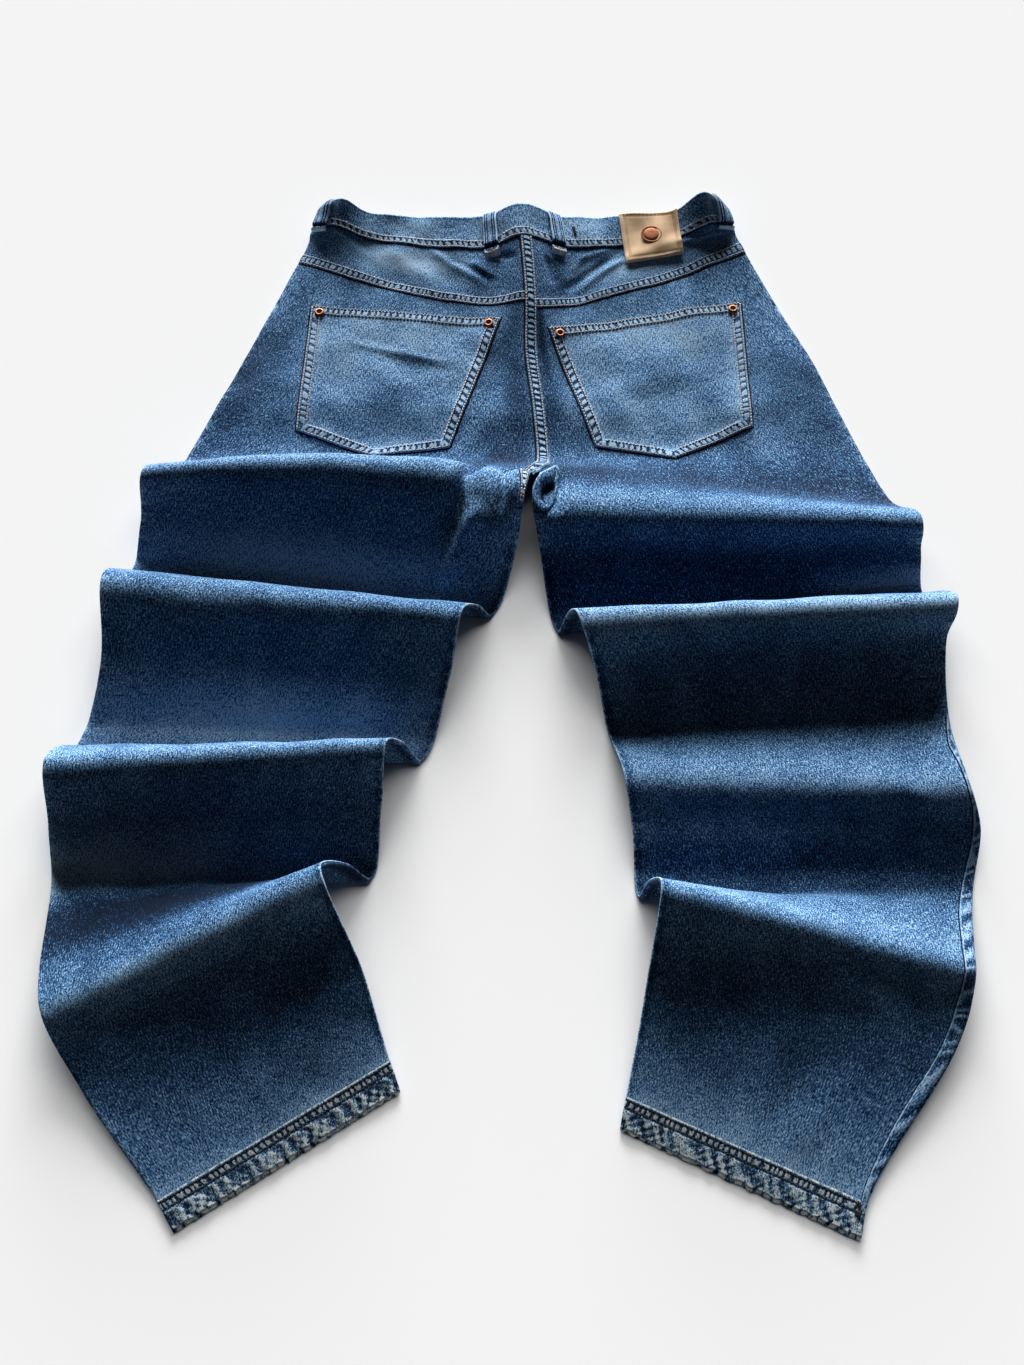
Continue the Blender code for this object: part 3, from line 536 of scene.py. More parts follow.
# ---------------------------------------------------------------- finishes
def linear(code):
    """Turn an sRGB hex colour into a linear colour."""
    values = [int(code[i:i + 2], 16) / 255 for i in (1, 3, 5)]
    values = [v / 12.92 if v <= 0.04045 else ((v + 0.055) / 1.055) ** 2.4 for v in values]
    return (*values, 1.0)


def add_node(tree, kind, settings=None, inputs=None):
    """Add a shader node with its settings, values and links."""
    made = tree.nodes.new("ShaderNode" + kind)
    for key, value in (settings or {}).items():
        setattr(made, key, value)
    for key, value in (inputs or {}).items():
        socket = made.inputs[key]
        if isinstance(value, bpy.types.NodeSocket):
            tree.links.new(value, socket)
        else:
            socket.default_value = value
    return made


def start_material(name, roughness, metallic=0.0, sheen=0.0, level=0.5):
    """Return a new material, its tree and its shader."""
    material = bpy.data.materials.new(name)
    material.use_nodes = True
    shader = material.node_tree.nodes["Principled BSDF"]
    shader.inputs["Roughness"].default_value = roughness
    shader.inputs["Metallic"].default_value = metallic
    shader.inputs["Specular IOR Level"].default_value = level
    shader.inputs["Sheen Weight"].default_value = sheen
    return material, material.node_tree, shader


def set_ramp(ramp, stops):
    """Give a colour ramp its stops, each a place and a hex colour or a grey level."""
    elements = ramp.color_ramp.elements
    elements[0].position, elements[1].position = stops[0][0], stops[-1][0]
    for place, _ in stops[1:-1]:
        elements.new(place)
    for element, (_, color) in zip(elements, stops):
        element.color = linear(color) if isinstance(color, str) else (color, color, color, 1.0)


def paint(tree, shader, shade, stops, relief=None):
    """Colour a shader by stops along a shade. relief is a height, its strength and its depth."""
    ramp = add_node(tree, "ValToRGB", None, {"Fac": shade})
    set_ramp(ramp, stops)
    tree.links.new(ramp.outputs["Color"], shader.inputs["Base Color"])
    if relief:
        height, strength, depth = relief
        bump = add_node(tree, "Bump", None, {"Strength": strength, "Distance": depth, "Height": height})
        tree.links.new(bump.outputs["Normal"], shader.inputs["Normal"])


def strip_fades_and_painted_shadow(tree, strip, speck, total, raised):
    """Add a seam's ticks and lines, from its own map: ticks along it, millimetres across it. Its tones also
    hold the felled seam's painted shadow line.
    """
    margin = 1000 * MARGIN
    plan = add_node(tree, "UVMap", {"uv_map": "seam"}).outputs["UV"]
    seam = add_node(tree, "SeparateXYZ", None, {0: plan})
    share = add_node(tree, "MapRange", None, {
        "Value": seam.outputs["Y"], "From Min": -margin, "From Max": strip.reach}).outputs["Result"]
    shades = []
    for column in ([(mm, 0.5 + 0.5 * tone) for mm, tone in strip.tones], strip.ticks):
        shade = add_node(tree, "ValToRGB", None, {"Fac": share})
        set_ramp(shade, [((mm + margin) / (strip.reach + margin), float(level)) for mm, level in column])
        shades.append(shade.outputs["Color"])
    ragged = add_node(tree, "Math", {"operation": "MULTIPLY_ADD"}, {0: speck, 1: 0.40, 2: seam.outputs["X"]})
    tooth = add_node(tree, "Math", {"operation": "PINGPONG"}, {0: ragged.outputs[0], 1: 0.5})
    pulse = add_node(tree, "MapRange", {"interpolation_type": "SMOOTHSTEP"}, {
        "Value": tooth.outputs[0], "From Min": 0.13, "From Max": 0.29, "To Min": -0.5, "To Max": 0.5})
    tick = add_node(tree, "Math", {"operation": "MULTIPLY"}, {0: pulse.outputs["Result"], 1: shades[1]})
    tone = add_node(tree, "Math", {"operation": "MULTIPLY_ADD"}, {0: shades[0], 1: 2.0, 2: -1.0})
    with_ticks = add_node(tree, "Math", {"operation": "MULTIPLY_ADD"},
                          {0: tick.outputs[0], 1: strip.gain, 2: total})
    total = add_node(tree, "Math", {"operation": "ADD"}, {0: tone.outputs[0], 1: with_ticks.outputs[0]})
    raised = add_node(tree, "Math", {"operation": "MULTIPLY_ADD"}, {0: tick.outputs[0], 1: 1.4, 2: raised})
    return total.outputs[0], raised.outputs[0]


def denim_material(name, stops, wear_gain, strip=None):
    """Cotton twill: blue warp over white weft, so each yarn's slubs and the worn places show white."""
    material, tree, shader = start_material(name, 0.95, sheen=0.02, level=0.08)
    cloth = add_node(tree, "UVMap", {"uv_map": "cloth"}).outputs["UV"]
    # the wear attribute holds real wear, and also painted shade and painted highlights on the panels,
    # pockets, yoke, waistband, loops and curl
    wear = add_node(tree, "Attribute", {"attribute_name": "wear"}).outputs["Fac"]
    # heathered specks 1.2 mm across, slubs 1 by 5 mm along the warp, and a faint 1.5 mm twill
    # line: the real yarns are 0.6 mm apart, which is finer than the render shows
    grain = {}
    for key, size in (("speck", (1 / 0.00125, 1 / 0.00150, 1)), ("slub", (1 / 0.0010, 1 / 0.0052, 1)),
                      ("blotch", (1 / 0.030, 1 / 0.045, 1))):
        spread = add_node(tree, "Mapping", None, {"Vector": cloth, "Scale": size})
        grain[key] = add_node(tree, "TexNoise", None, {
            "Vector": spread.outputs["Vector"], "Scale": 1.0, "Detail": 2.0, "Roughness": 0.65,
        }).outputs["Fac"]
    turned = add_node(tree, "Mapping", None, {"Vector": cloth, "Rotation": (0, 0, math.radians(27))})
    twill = add_node(tree, "TexWave", {"bands_direction": "X"}, {
        "Vector": turned.outputs["Vector"], "Scale": 1 / 0.0015 / 6.2832, "Distortion": 1.2, "Detail": 1.0,
    }).outputs["Fac"]
    total = 0.5
    for value, gain in ((grain["speck"], 2.70), (grain["slub"], 1.80), (grain["blotch"], 0.45),
                        (twill, 0.12), (wear, wear_gain)):
        shift = add_node(tree, "Math", {"operation": "MULTIPLY_ADD"}, {0: value, 1: gain, 2: -0.5 * gain})
        total = add_node(tree, "Math", {"operation": "ADD"}, {0: shift.outputs[0], 1: total}).outputs[0]
    raised = add_node(tree, "Math", {"operation": "MULTIPLY_ADD"},
                      {0: grain["speck"], 1: 0.7, 2: grain["slub"]}).outputs[0]
    if strip:
        total, raised = strip_fades_and_painted_shadow(tree, strip, grain["speck"], total, raised)
    paint(tree, shader, total, stops, (raised, 0.55, 0.0005))
    return material


def thread_material(name, stops):
    """Cotton-wrapped polyester topstitching thread, twisted and a little dusty."""
    material, tree, shader = start_material(name, 0.8, sheen=0.1, level=0.3)
    place = add_node(tree, "TexCoord").outputs["Object"]
    dust = add_node(tree, "TexNoise", None, {"Vector": place, "Scale": 260.0, "Detail": 2.0})
    ply = add_node(tree, "TexNoise", None, {"Vector": place, "Scale": 2200.0, "Detail": 1.0})
    paint(tree, shader, dust.outputs["Fac"], stops, (ply.outputs["Fac"], 0.4, 0.0002))
    return material


def leather_material():
    """Vegetable-tanned cowhide, undyed: pale tan, with fine pores and rubbed edges."""
    material, tree, shader = start_material("veg_tan_leather", 0.75, level=0.15)
    place = add_node(tree, "TexCoord").outputs["Object"]
    wear = add_node(tree, "Attribute", {"attribute_name": "wear"}).outputs["Fac"]
    cloud = add_node(tree, "TexNoise", None, {"Vector": place, "Scale": 85.0, "Detail": 4.0})
    total = add_node(tree, "Math", {"operation": "MULTIPLY_ADD"},
                     {0: cloud.outputs["Fac"], 1: 0.7, 2: wear})
    less = add_node(tree, "Math", {"operation": "SUBTRACT"}, {0: total.outputs[0], 1: 0.35})
    pores = add_node(tree, "TexVoronoi", None, {"Vector": place, "Scale": 1300.0})
    paint(tree, shader, less.outputs[0],
          ((0.1, "#8a6650"), (0.35, "#d4af89"), (0.6, "#e8c8a4"), (0.9, "#f3dec6")),
          (pores.outputs["Distance"], 0.25, 0.0003))
    return material


def copper_material():
    """Copper-plated brass, tumbled to an antique finish: bright on its edges, dark in its hollows."""
    material, tree, shader = start_material("antique_copper", 0.38, metallic=1.0)
    place = add_node(tree, "TexCoord").outputs["Object"]
    wear = add_node(tree, "Attribute", {"attribute_name": "wear"}).outputs["Fac"]
    tarnish = add_node(tree, "TexNoise", None, {"Vector": place, "Scale": 420.0, "Detail": 3.0})
    total = add_node(tree, "Math", {"operation": "MULTIPLY_ADD"},
                     {0: tarnish.outputs["Fac"], 1: 0.5, 2: wear})
    less = add_node(tree, "Math", {"operation": "SUBTRACT"}, {0: total.outputs[0], 1: 0.25})
    paint(tree, shader, less.outputs[0],
          ((0.05, "#1d120d"), (0.35, "#643a25"), (0.65, "#a5694a"), (0.95, "#d8a183")))
    dull = add_node(tree, "MapRange", None, {"Value": tarnish.outputs["Fac"], "To Min": 0.52, "To Max": 0.78})
    tree.links.new(dull.outputs["Result"], shader.inputs["Roughness"])
    return material


WASHED = ((0.00, "#0a182c"), (0.25, "#1a385a"), (0.50, "#3b6595"), (0.74, "#6899c6"), (1.00, "#adcae4"))
DENIM = denim_material("washed_indigo_twill", WASHED, 0.95)
SEAM_DENIM = denim_material("washed_indigo_felled_seam", WASHED, 0.95, FELLED)
LOOP_DENIM = denim_material("washed_indigo_belt_loop", WASHED, 0.95, LOOPED)
HEM_DENIM = denim_material("washed_indigo_roped_hem", (
    (0.00, "#0c1a33"), (0.25, "#1c3858"), (0.50, "#47688a"), (0.74, "#7f98a9"), (1.00, "#bfc7c6"),
), 0.95, HEMMED)
OUTSEAM_DENIM = denim_material("washed_indigo_open_seam", WASHED, 0.95, PRESSED)
DENIM_BACK = denim_material("indigo_twill_reverse", (
    (0.00, "#3a4f6b"), (0.40, "#71879f"), (0.70, "#a5b3c0"), (1.00, "#d5d9da"),
), 0.30)
TAN_THREAD = thread_material("faded_tan_thread", ((0.3, "#c6b8b5"), (0.5, "#e6dad6"), (0.75, "#f7f1ee")))
BROWN_THREAD = thread_material("dark_brown_thread", ((0.3, "#1d1a1d"), (0.6, "#3a2d27"), (0.85, "#6a5142")))
LEATHER = leather_material()
COPPER = copper_material()


# ---------------------------------------------------------------- meshes of cloth
def add_piece(name, points, faces, materials, uv=None, wear=None, inner_from=None, seam=None):
    """Make an object of the model from points and faces, which are turned outwards."""
    points = np.asarray(points, float).reshape(-1, 3)
    mesh = bpy.data.meshes.new(name)
    mesh.from_pydata(points.tolist(), [], faces)
    for material in materials:
        mesh.materials.append(material)
    if uv is not None:
        corners = np.zeros(len(mesh.loops), int)
        mesh.loops.foreach_get("vertex_index", corners)
        layer = mesh.uv_layers.new(name="cloth")
        layer.data.foreach_set("uv", np.asarray(uv, float).reshape(-1, 2)[corners].ravel())
    if seam is not None:
        layer = mesh.uv_layers.new(name="seam")
        layer.data.foreach_set("uv", np.asarray(seam, float).ravel())
    if wear is not None:
        spot = mesh.attributes.new("wear", "FLOAT", "POINT")
        spot.data.foreach_set("value", np.asarray(wear, float).ravel())
    if inner_from is not None:
        index = np.zeros(len(mesh.polygons), int)
        index[inner_from:] = 1
        mesh.polygons.foreach_set("material_index", index)
    mesh.polygons.foreach_set("use_smooth", np.full(len(mesh.polygons), True))
    mesh.update()
    thing = bpy.data.objects.new(name, mesh)
    bpy.context.scene.collection.objects.link(thing)
    return thing


def volume(points, faces):
    """Return the signed volume of a closed mesh of quads."""
    quads = points[np.asarray(faces)]
    a, b, c, d = (quads[:, i] for i in range(4))
    return float((np.cross(a, b) * c + np.cross(a, c) * d).sum()) / 6


def add_cloth(
        name, outside, inside, uv, wear, face=DENIM, back=DENIM_BACK, ring=False, seam=None, owner=None):
    """Close two grids of points into one piece of cloth with rounded edges.

    face and back are the finishes of its two sides, and a ring joins its last line to its first.
    seam holds ticks and millimetres across for each point, or one such table for each of
    several seams, and owner then says which of them each point belongs to.
    """
    n, m = outside.shape[:2]
    count = n * m
    number = np.arange(count).reshape(n, m)
    lines = np.arange(n if ring else n - 1)
    i, j = np.meshgrid(lines, np.arange(m - 1), indexing="ij")
    k = (i + 1) % n
    quads = np.stack((number[i, j], number[k, j], number[k, j + 1], number[i, j + 1]), -1).reshape(-1, 4)
    if ring:
        rims = [number[:, 0], number[::-1, -1]]
        inward = [number[:, 1], number[::-1, -2]]
    else:
        rims = [np.concatenate((number[:-1, 0], number[-1, :-1], number[:0:-1, -1], number[0, :0:-1]))]
        rows, columns = np.divmod(rims[0], m)
        inward = [number[np.clip(rows, 1, n - 2), np.clip(columns, 1, m - 2)]]
    flat_out, flat_in = outside.reshape(-1, 3), inside.reshape(-1, 3)
    flat_uv, flat_wear = np.asarray(uv).reshape(-1, 2), np.asarray(wear).ravel()
    points, places, worn = [flat_out, flat_in], [flat_uv, flat_uv], [flat_wear, flat_wear]
    grid = np.concatenate((np.arange(count), np.arange(count), *rims))
    edge_quads = []
    base = 2 * count
    for rim, within in zip(rims, inward):
        away = flat_out[rim] - flat_out[within]
        away /= np.linalg.norm(away, axis=1, keepdims=True) + 1e-9
        deep = np.linalg.norm(flat_out[rim] - flat_in[rim], axis=1, keepdims=True)
        points.append((flat_out[rim] + flat_in[rim]) / 2 + away * deep * 0.3)
        places.append(flat_uv[rim])
        worn.append(flat_wear[rim])
        middle = base + np.arange(len(rim))
        base += len(rim)
        after = np.roll(np.arange(len(rim)), -1)
        edge_quads.append(np.stack((rim[after], rim, middle, middle[after]), -1))
        edge_quads.append(np.stack((middle[after], middle, rim + count, rim[after] + count), -1))
    under = quads[:, ::-1] + count
    faces = np.concatenate([quads, *edge_quads, under])
    points = np.concatenate(points)
    if volume(points, faces) < 0:
        faces = faces[:, ::-1]
    stitched = None
    if seam is not None:
        table = np.asarray(seam, float).reshape(-1, count, 2)
        who = np.zeros(count, int) if owner is None else owner.ravel()
        on_grid = grid[faces]
        stitched = table[who[on_grid.min(axis=1)][:, None], on_grid]
    return add_piece(
        name, points, faces.tolist(), (face, back),
        np.concatenate(places), np.concatenate(worn), inner_from=len(faces) - len(under), seam=stitched,
    )


def finish_piece(thing, slot, *nodes):
    """Put a piece on the body and hide the part's nodes that it stands for. slot, its finish, is not used."""
    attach(thing, "root")
    if nodes:
        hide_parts(*nodes)
    return thing


# ---------------------------------------------------------------- stitches
class Thread:
    """Stitches gathered from many rows, made into one piece."""

    def __init__(self, name, material):
        self.name, self.material = name, material
        self.stitches = []

    def sew(self, path, normals, pitch=STITCH, share=0.82, thick=THREAD):
        """Lay stitches along a path on the cloth."""
        steps = np.linalg.norm(np.diff(path, axis=0), axis=1)
        run = np.concatenate(([0.0], np.cumsum(steps)))
        count = int(run[-1] / pitch)
        for i in range(count):
            ends = (i + 0.5 - share / 2) * pitch, (i + 0.5 + share / 2) * pitch
            spots = [[np.interp(end, run, path[:, axis]) for axis in range(3)] for end in ends]
            out = np.array([np.interp(sum(ends) / 2, run, normals[:, axis]) for axis in range(3)])
            self.stitches.append((np.array(spots[0]), np.array(spots[1]), out, thick))

    def finish(self, goes_with):
        """Make the piece, each stitch a short arched rod with rounded ends, and add it to a list."""
        sides = 5
        rings = ((-0.5, 0.2, -0.9), (-0.36, 0.9, 0.35), (0.0, 1.0, 0.9), (0.36, 0.9, 0.35), (0.5, 0.2, -0.9))
        turn = 2 * math.pi * np.arange(sides) / sides
        points, faces = [], []
        for start, stop, out, thick in self.stitches:
            along = stop - start
            length = np.linalg.norm(along)
            along = along / length
            across = np.cross(out, along)
            across /= np.linalg.norm(across)
            up = np.cross(along, across)
            base = len(points) * sides
            for place, radius, high in rings:
                centre = (start + stop) / 2 + along * place * length + up * high * thick
                points.append(centre + thick * radius * (
                    np.outer(np.cos(turn), across) + np.outer(np.sin(turn), up)))
            for ring in range(len(rings) - 1):
                low = base + ring * sides
                for side in range(sides):
                    beside = (side + 1) % sides
                    faces.append((low + side, low + beside, low + sides + beside, low + sides + side))
            faces.append(tuple(base + side for side in reversed(range(sides))))
            faces.append(tuple(base + (len(rings) - 1) * sides + side for side in range(sides)))
        points = np.concatenate(points)
        thing = add_piece(self.name, points, faces, (self.material,))
        goes_with.append(finish_piece(thing, "denim"))


def sew_row(thread, at, s, row, lift, thick=THREAD):
    """Sew a row of stitches at s along a strip, which at(s, w, lift) gives, row from its edge."""
    w, step = np.full(s.shape, row), 0.001
    path, above = at(s, w, np.full(s.shape, lift)), at(s, w, np.full(s.shape, lift + step))
    thread.sew(path, (above - path) / step, thick=thick)


def ripple(along, across, pitch, slant, seed):
    """Return the uneven waves that a shrunken seam's thread pulls into the cloth, 0 to 1."""
    phase = (along + slant * across) / pitch + 0.55 * wander(along, seed, 0.022)
    wave = 0.5 + 0.5 * np.cos(2 * math.pi * phase)
    return wave ** 1.4


def tick_count(along, across, pitch, slant, seed):
    """Return how many ticks of a seam lie before a place, a little unevenly."""
    return (along + slant * across) / pitch + 0.30 * wander(along, seed, 0.03)


def strip_height(across, width, ticks, rise=FELL_RISE):
    """Return the height of a folded strip: low beside its edge, with a bulge for each tick."""
    edge = smooth((across + 0.0003) / 0.0009) * smooth((width - across) / 0.0014)
    bulge = 0.5 - 0.5 * np.cos(2 * math.pi * ticks)
    between = np.sin(math.pi * np.clip((across - 0.0022) / (width - 0.0044), 0, 1))
    return 0.00012 + rise * edge * (0.75 + 0.5 * bulge * between)


def add_fell(name, at, length, width, pitch, slant, seed):
    """Make a felled seam's raised strip. at(s, w, lift) gives points along it and across it."""
    along, across = np.meshgrid(
        graded((0, length, FINE_GRAIN)), graded((-MARGIN, width, SEAM_STEP)), indexing="ij")
    ticks = tick_count(along, across, pitch, slant, seed)
    outside = at(along, across, strip_height(across, width, ticks))
    inside = at(along, across, np.full(along.shape, -0.0005))
    worn = 0.5 + 0.08 * wander(along, seed + 5, 0.05)
    strip = add_cloth(name, outside, inside, np.stack((across, along), -1), worn,
                      face=SEAM_DENIM, seam=np.stack((ticks, 1000 * across), -1))
    finish_piece(strip, "denim")
    for row in FELL_ROWS:
        s = np.linspace(0.0005, length - 0.0005, int(length / (STITCH / 2)))
        sew_row(SEAM_THREAD, at, s, row, FELL_RISE * 0.75)
    return strip


# ---------------------------------------------------------------- the garment's pieces
SEAM_THREAD = Thread("tan_stitches", TAN_THREAD)
HEM_THREAD = Thread("brown_stitches", BROWN_THREAD)


def panel_wear_and_painted_light(leg, u, t):
    """Return how pale a panel is: painted highlights on its crests, its worn edges and hem, painted shade
    beside the inseam, and its fades and painted light.
    """
    worn = np.full(np.broadcast(u, t).shape, LEG_WEAR) + fades_and_painted_light(leg, u, t)
    # painted highlights along the crests of the folds
    for k in (1, 2, 3, 4):
        crest = leg.at[f"crest {k}"]
        worn = worn + 0.12 * bell(t - crest, 0.016)
    edge = np.minimum(u, 1 - u) * WEB
    ticks = ripple(t, 0 * u, 0.011, 0.0, 41)
    worn = worn + bell(edge, 0.006) * (0.35 * ticks - 0.05)
    # the inseam: a pale worn edge, and a line of painted shade beside it where the folds end
    below = smooth((t - leg.at["crest 1"] - 0.05) / 0.03)
    worn = worn + below * (0.38 * bell(u * WEB, 0.0010) - 0.25 * bell(u * WEB - 0.0034, 0.0034))
    return worn + 0.22 * bell(leg.at["hem"] - t, 0.009) + 0.60 * bell(leg.at["end"] - t, 0.0040)


def fades_and_painted_light(leg, u, t):
    """Return how much paler or darker than the rest each place is: its fades, and its painted shade and
    painted highlights.
    """
    total = np.zeros(np.broadcast(u, t).shape)
    for fade in FADES_AND_PAINTED_LIGHT[leg.name]:
        far = ((u - fade.u) * WEB / fade.across) ** 2 + ((t - fade.t) / fade.along) ** 2
        total = total + fade.amount * np.exp(-far)
    return total


def add_panels(leg):
    """Make the back and the front panel of one leg, with a finer mesh at the crotch."""
    at = leg.at
    made = {}
    for label, first, fine, grain in (("back", "yoke", CROTCH_GRAIN, PANEL_GRAIN),
                                      ("front", "band", FRONT_GRAIN, FRONT_GRAIN)):
        start = at[first] + SEAM_GAP
        u, t = np.meshgrid(
            graded((0, EDGE_WIDE, (EDGE_GRAIN if label == "back" else fine) / WEB),
                   (EDGE_WIDE, CROTCH_WIDE, fine / WEB), (CROTCH_WIDE, 1, grain / WEB)),
            graded((start, CROTCH_LONG[0], grain), (*CROTCH_LONG, fine), (CROTCH_LONG[1], at["end"], grain)))
        uv = np.stack((u * WEB, t), -1)
        if label == "back":
            outside, inside = leg.back(u, t, 0.0), leg.back(u, t, CLOTH)
        else:
            outside, inside = leg.front(u, t, 0.0), leg.front(u, t, CLOTH)
        worn = panel_wear_and_painted_light(leg, u, t)
        if label == "front":
            worn = worn - 0.55 * bell(u * WEB, 0.012)
        piece = add_cloth(f"{leg.name}_{label}_denim", outside, inside, uv, worn)
        finish_piece(piece, "denim", f"{leg.name}_{label}_panel")
        made[label] = piece
    return made


def add_yoke(leg):
    """Make the yoke, between the waistband and the back panel."""
    start, stop = leg.at["band"] + SEAM_GAP, leg.at["yoke"] - SEAM_GAP
    u, t = np.meshgrid(
        np.linspace(0, 1, int(YOKE_WEB / YOKE_GRAIN)),
        np.linspace(start, stop, int((stop - start) / YOKE_GRAIN)))
    # painted shadow along the yoke's top, under the waistband's edge
    worn = LEG_WEAR + fades_and_painted_light(leg, u, t) - 0.45 * bell(t - start, 0.0022)
    piece = add_cloth(f"{leg.name}_yoke_denim", leg.back(u, t, 0.0), leg.back(u, t, CLOTH),
                      np.stack((u * YOKE_WEB, t), -1), worn)
    return finish_piece(piece, "denim", f"{leg.name}_yoke")


def add_yoke_seam(leg):
    """Make the felled seam that joins the yoke to the panel. The right one starts lower at the centre."""
    seam = leg.at["yoke"] + 0.0012
    length = leg.width(leg.at["yoke"])
    drop, reach = YOKE_DROP
    lower = drop if leg.name == "right" else 0.0

    def at(s, w, lift):
        return leg.out(s / length, seam - w + lower * bell(s, reach), lift)
    return add_fell(f"{leg.name}_yoke_seam", at, length, FELL, 0.0056, 0.20, 51 + leg.sign)


def across_centre(s, w, lift):
    """Return a point s down the centre back seam and w to the right of it."""
    left, right = LEGS["left"], LEGS["right"]
    width = np.interp(s, *np.array(SEAT_WIDTHS).T)
    side = [leg.out(np.clip(sign * w, 0, None) / width, s, lift) for leg, sign in ((left, -1), (right, 1))]
    return np.where((w < 0)[..., None], side[0], side[1])


def add_centre_seam():
    """Make the felled seam down the centre back, from the waistband over the crest at the crotch."""
    start = LEGS["left"].at["band"] + 0.001
    length = 0.400 - start

    def at(s, w, lift):
        # at the crotch it drifts to the left, and over the crest it narrows
        t = start + s
        aside = 0.0035 + 0.0074 * smooth((t - 0.322) / 0.030)
        narrow = 1 - 0.80 * smooth((t - 0.352) / 0.048)
        return across_centre(t, (w - FELL) * narrow + FELL - aside, lift + 0.0004)
    return add_fell("centre_back_seam", at, length, FELL, 0.0064, -0.35, 71)


def add_waistband():
    """Make the waistband, one ring with a rippled lower edge, from the left fold round back and front."""
    left, right = LEGS["left"], LEGS["right"]
    edge = left.at["band"] - SEAM_GAP
    t = graded((edge + 0.0002, edge - 0.0110, SEAM_STEP), (edge - 0.0110, 0.0, FINE_GRAIN))
    across = edge - t
    lines = {"outside": [], "inside": [], "run": [], "ticks": [], "worn": []}

    def ticks_at(s):
        return tick_count(np.full(t.shape, s), across, *BAND_TICKS)

    def add_line(outer_points, inner_points, s, painted_brightening=0.0):
        """Add one line of points down the band, s round it, outside and inside."""
        worn = BAND_WEAR + painted_brightening + 0.22 * bell(t, 0.0016) + 0.13 * wander(np.full(1, s), 17, 0.10)
        worn = worn + 0.09 * wander(t + 0.02 * wander(np.full(1, s), 18, 0.05), 20, 0.009)
        worn = worn - 0.30 * bell(t - 0.0030, 0.0008)
        values = (outer_points, inner_points, np.full(t.shape, s), ticks_at(s), worn)
        for column, value in zip(lines.values(), values):
            column.append(value)

    def fold(leg, s, way):
        """Add the lines round the fold at a side."""
        line = np.full(t.shape, 1.0)
        centre = leg.out(line, t, -STACK / 2)
        up = leg.normal(line, t)
        aside = np.zeros(up.shape)
        aside[:, 0] = -leg.sign
        for step in (35, 0, -35):
            angle = math.radians(step * way)
            out = BAND_FOLD * math.cos(angle) * aside + 0.0024 * math.sin(angle) * up
            within = (BAND_FOLD - BAND_THICKNESS) * math.cos(angle) * aside + 0.0006 * math.sin(angle) * up
            add_line(centre + out, centre + within, s)

    at = 0.0
    for leg, stops in ((left, (BAND_STOP, 0.0)), (right, (0.0, BAND_STOP))):
        width = leg.width(0.5 * edge)
        count = int(width / FINE_GRAIN)
        for u in np.linspace(*stops, count)[0 if leg is left else 1:]:
            line = np.full(t.shape, u)
            high = strip_height(across, FELL, ticks_at(at), 0.0004) - 0.0005 * (1 - smooth(t / 0.0012))
            # the middle and the ends turn away from the light, so they are painted paler: painted light
            painted_brightening = 0.14 * (1 - smooth(u / 0.16)) + 0.40 * smooth((u - 0.86) / 0.06)
            add_line(leg.out(line, t, ON_BAND + high), leg.back(line, t, CLOTH), at, painted_brightening)
            at += width / count
    fold(right, at, 1)
    for leg, stops in ((right, (BAND_STOP, 0.0)), (left, (0.0, BAND_STOP))):
        width = leg.width(0.5 * edge)
        count = int(width / BAND_FRONT_GRAIN)
        for u in np.linspace(*stops, count)[0 if leg is right else 1:]:
            line = np.full(t.shape, u)
            add_line(leg.front(line, t, 0.0), leg.front(line, t, BAND_THICKNESS), at)
            at += width / count
    fold(left, at, -1)
    run = np.array(lines["run"])
    seam = np.stack((lines["ticks"], np.repeat(1000 * across[None], len(run), 0)), -1)
    band = add_cloth("waistband_denim", np.array(lines["outside"]), np.array(lines["inside"]),
                     np.stack((run, np.repeat(t[None], len(run), 0)), -1), np.array(lines["worn"]),
                     face=SEAM_DENIM, ring=True, seam=seam)
    finish_piece(band, "denim", "waistband")
    for row in FELL_ROWS:
        for leg in (left, right):
            u = np.linspace(0.0, BAND_STOP, 160)
            level = np.full(u.shape, edge - row)
            SEAM_THREAD.sew(leg.out(u, level, ON_BAND + 0.0003), leg.normal(u, level))
    return band


def pocket_plan(pocket, a, b):
    """Return points of a pocket on the floor plan: a across it and b down it."""
    corners = {key: np.array(value) for key, value in pocket._asdict().items()}
    tip = np.linalg.norm(corners["tip"] - corners["bottom_inner"])
    rest = np.linalg.norm(corners["bottom_outer"] - corners["tip"])
    corner = tip / (tip + rest)
    a, b = a[..., None], b[..., None]
    top = corners["top_inner"] * (1 - a) + corners["top_outer"] * a
    first, second = a / corner, (a - corner) / (1 - corner)
    low = corners["bottom_inner"] * (1 - first) + corners["tip"] * first
    far = corners["tip"] * (1 - second) + corners["bottom_outer"] * second
    bottom = np.where(a < corner, low, far)
    return top * (1 - b) + bottom * b


def pocket_edges(pocket):
    """Return a pocket's edges, from its outer top corner on: two ends, the way along, the way inwards."""
    corners = [np.array(corner) for corner in pocket]
    centre = np.mean(corners, axis=0)
    edges = []
    for start, stop in zip(corners, corners[1:] + corners[:1]):
        way = (stop - start) / np.linalg.norm(stop - start)
        side = np.array((-way[1], way[0]))
        edges.append((start, stop, way, side * np.sign((centre - start) @ side)))
    return edges


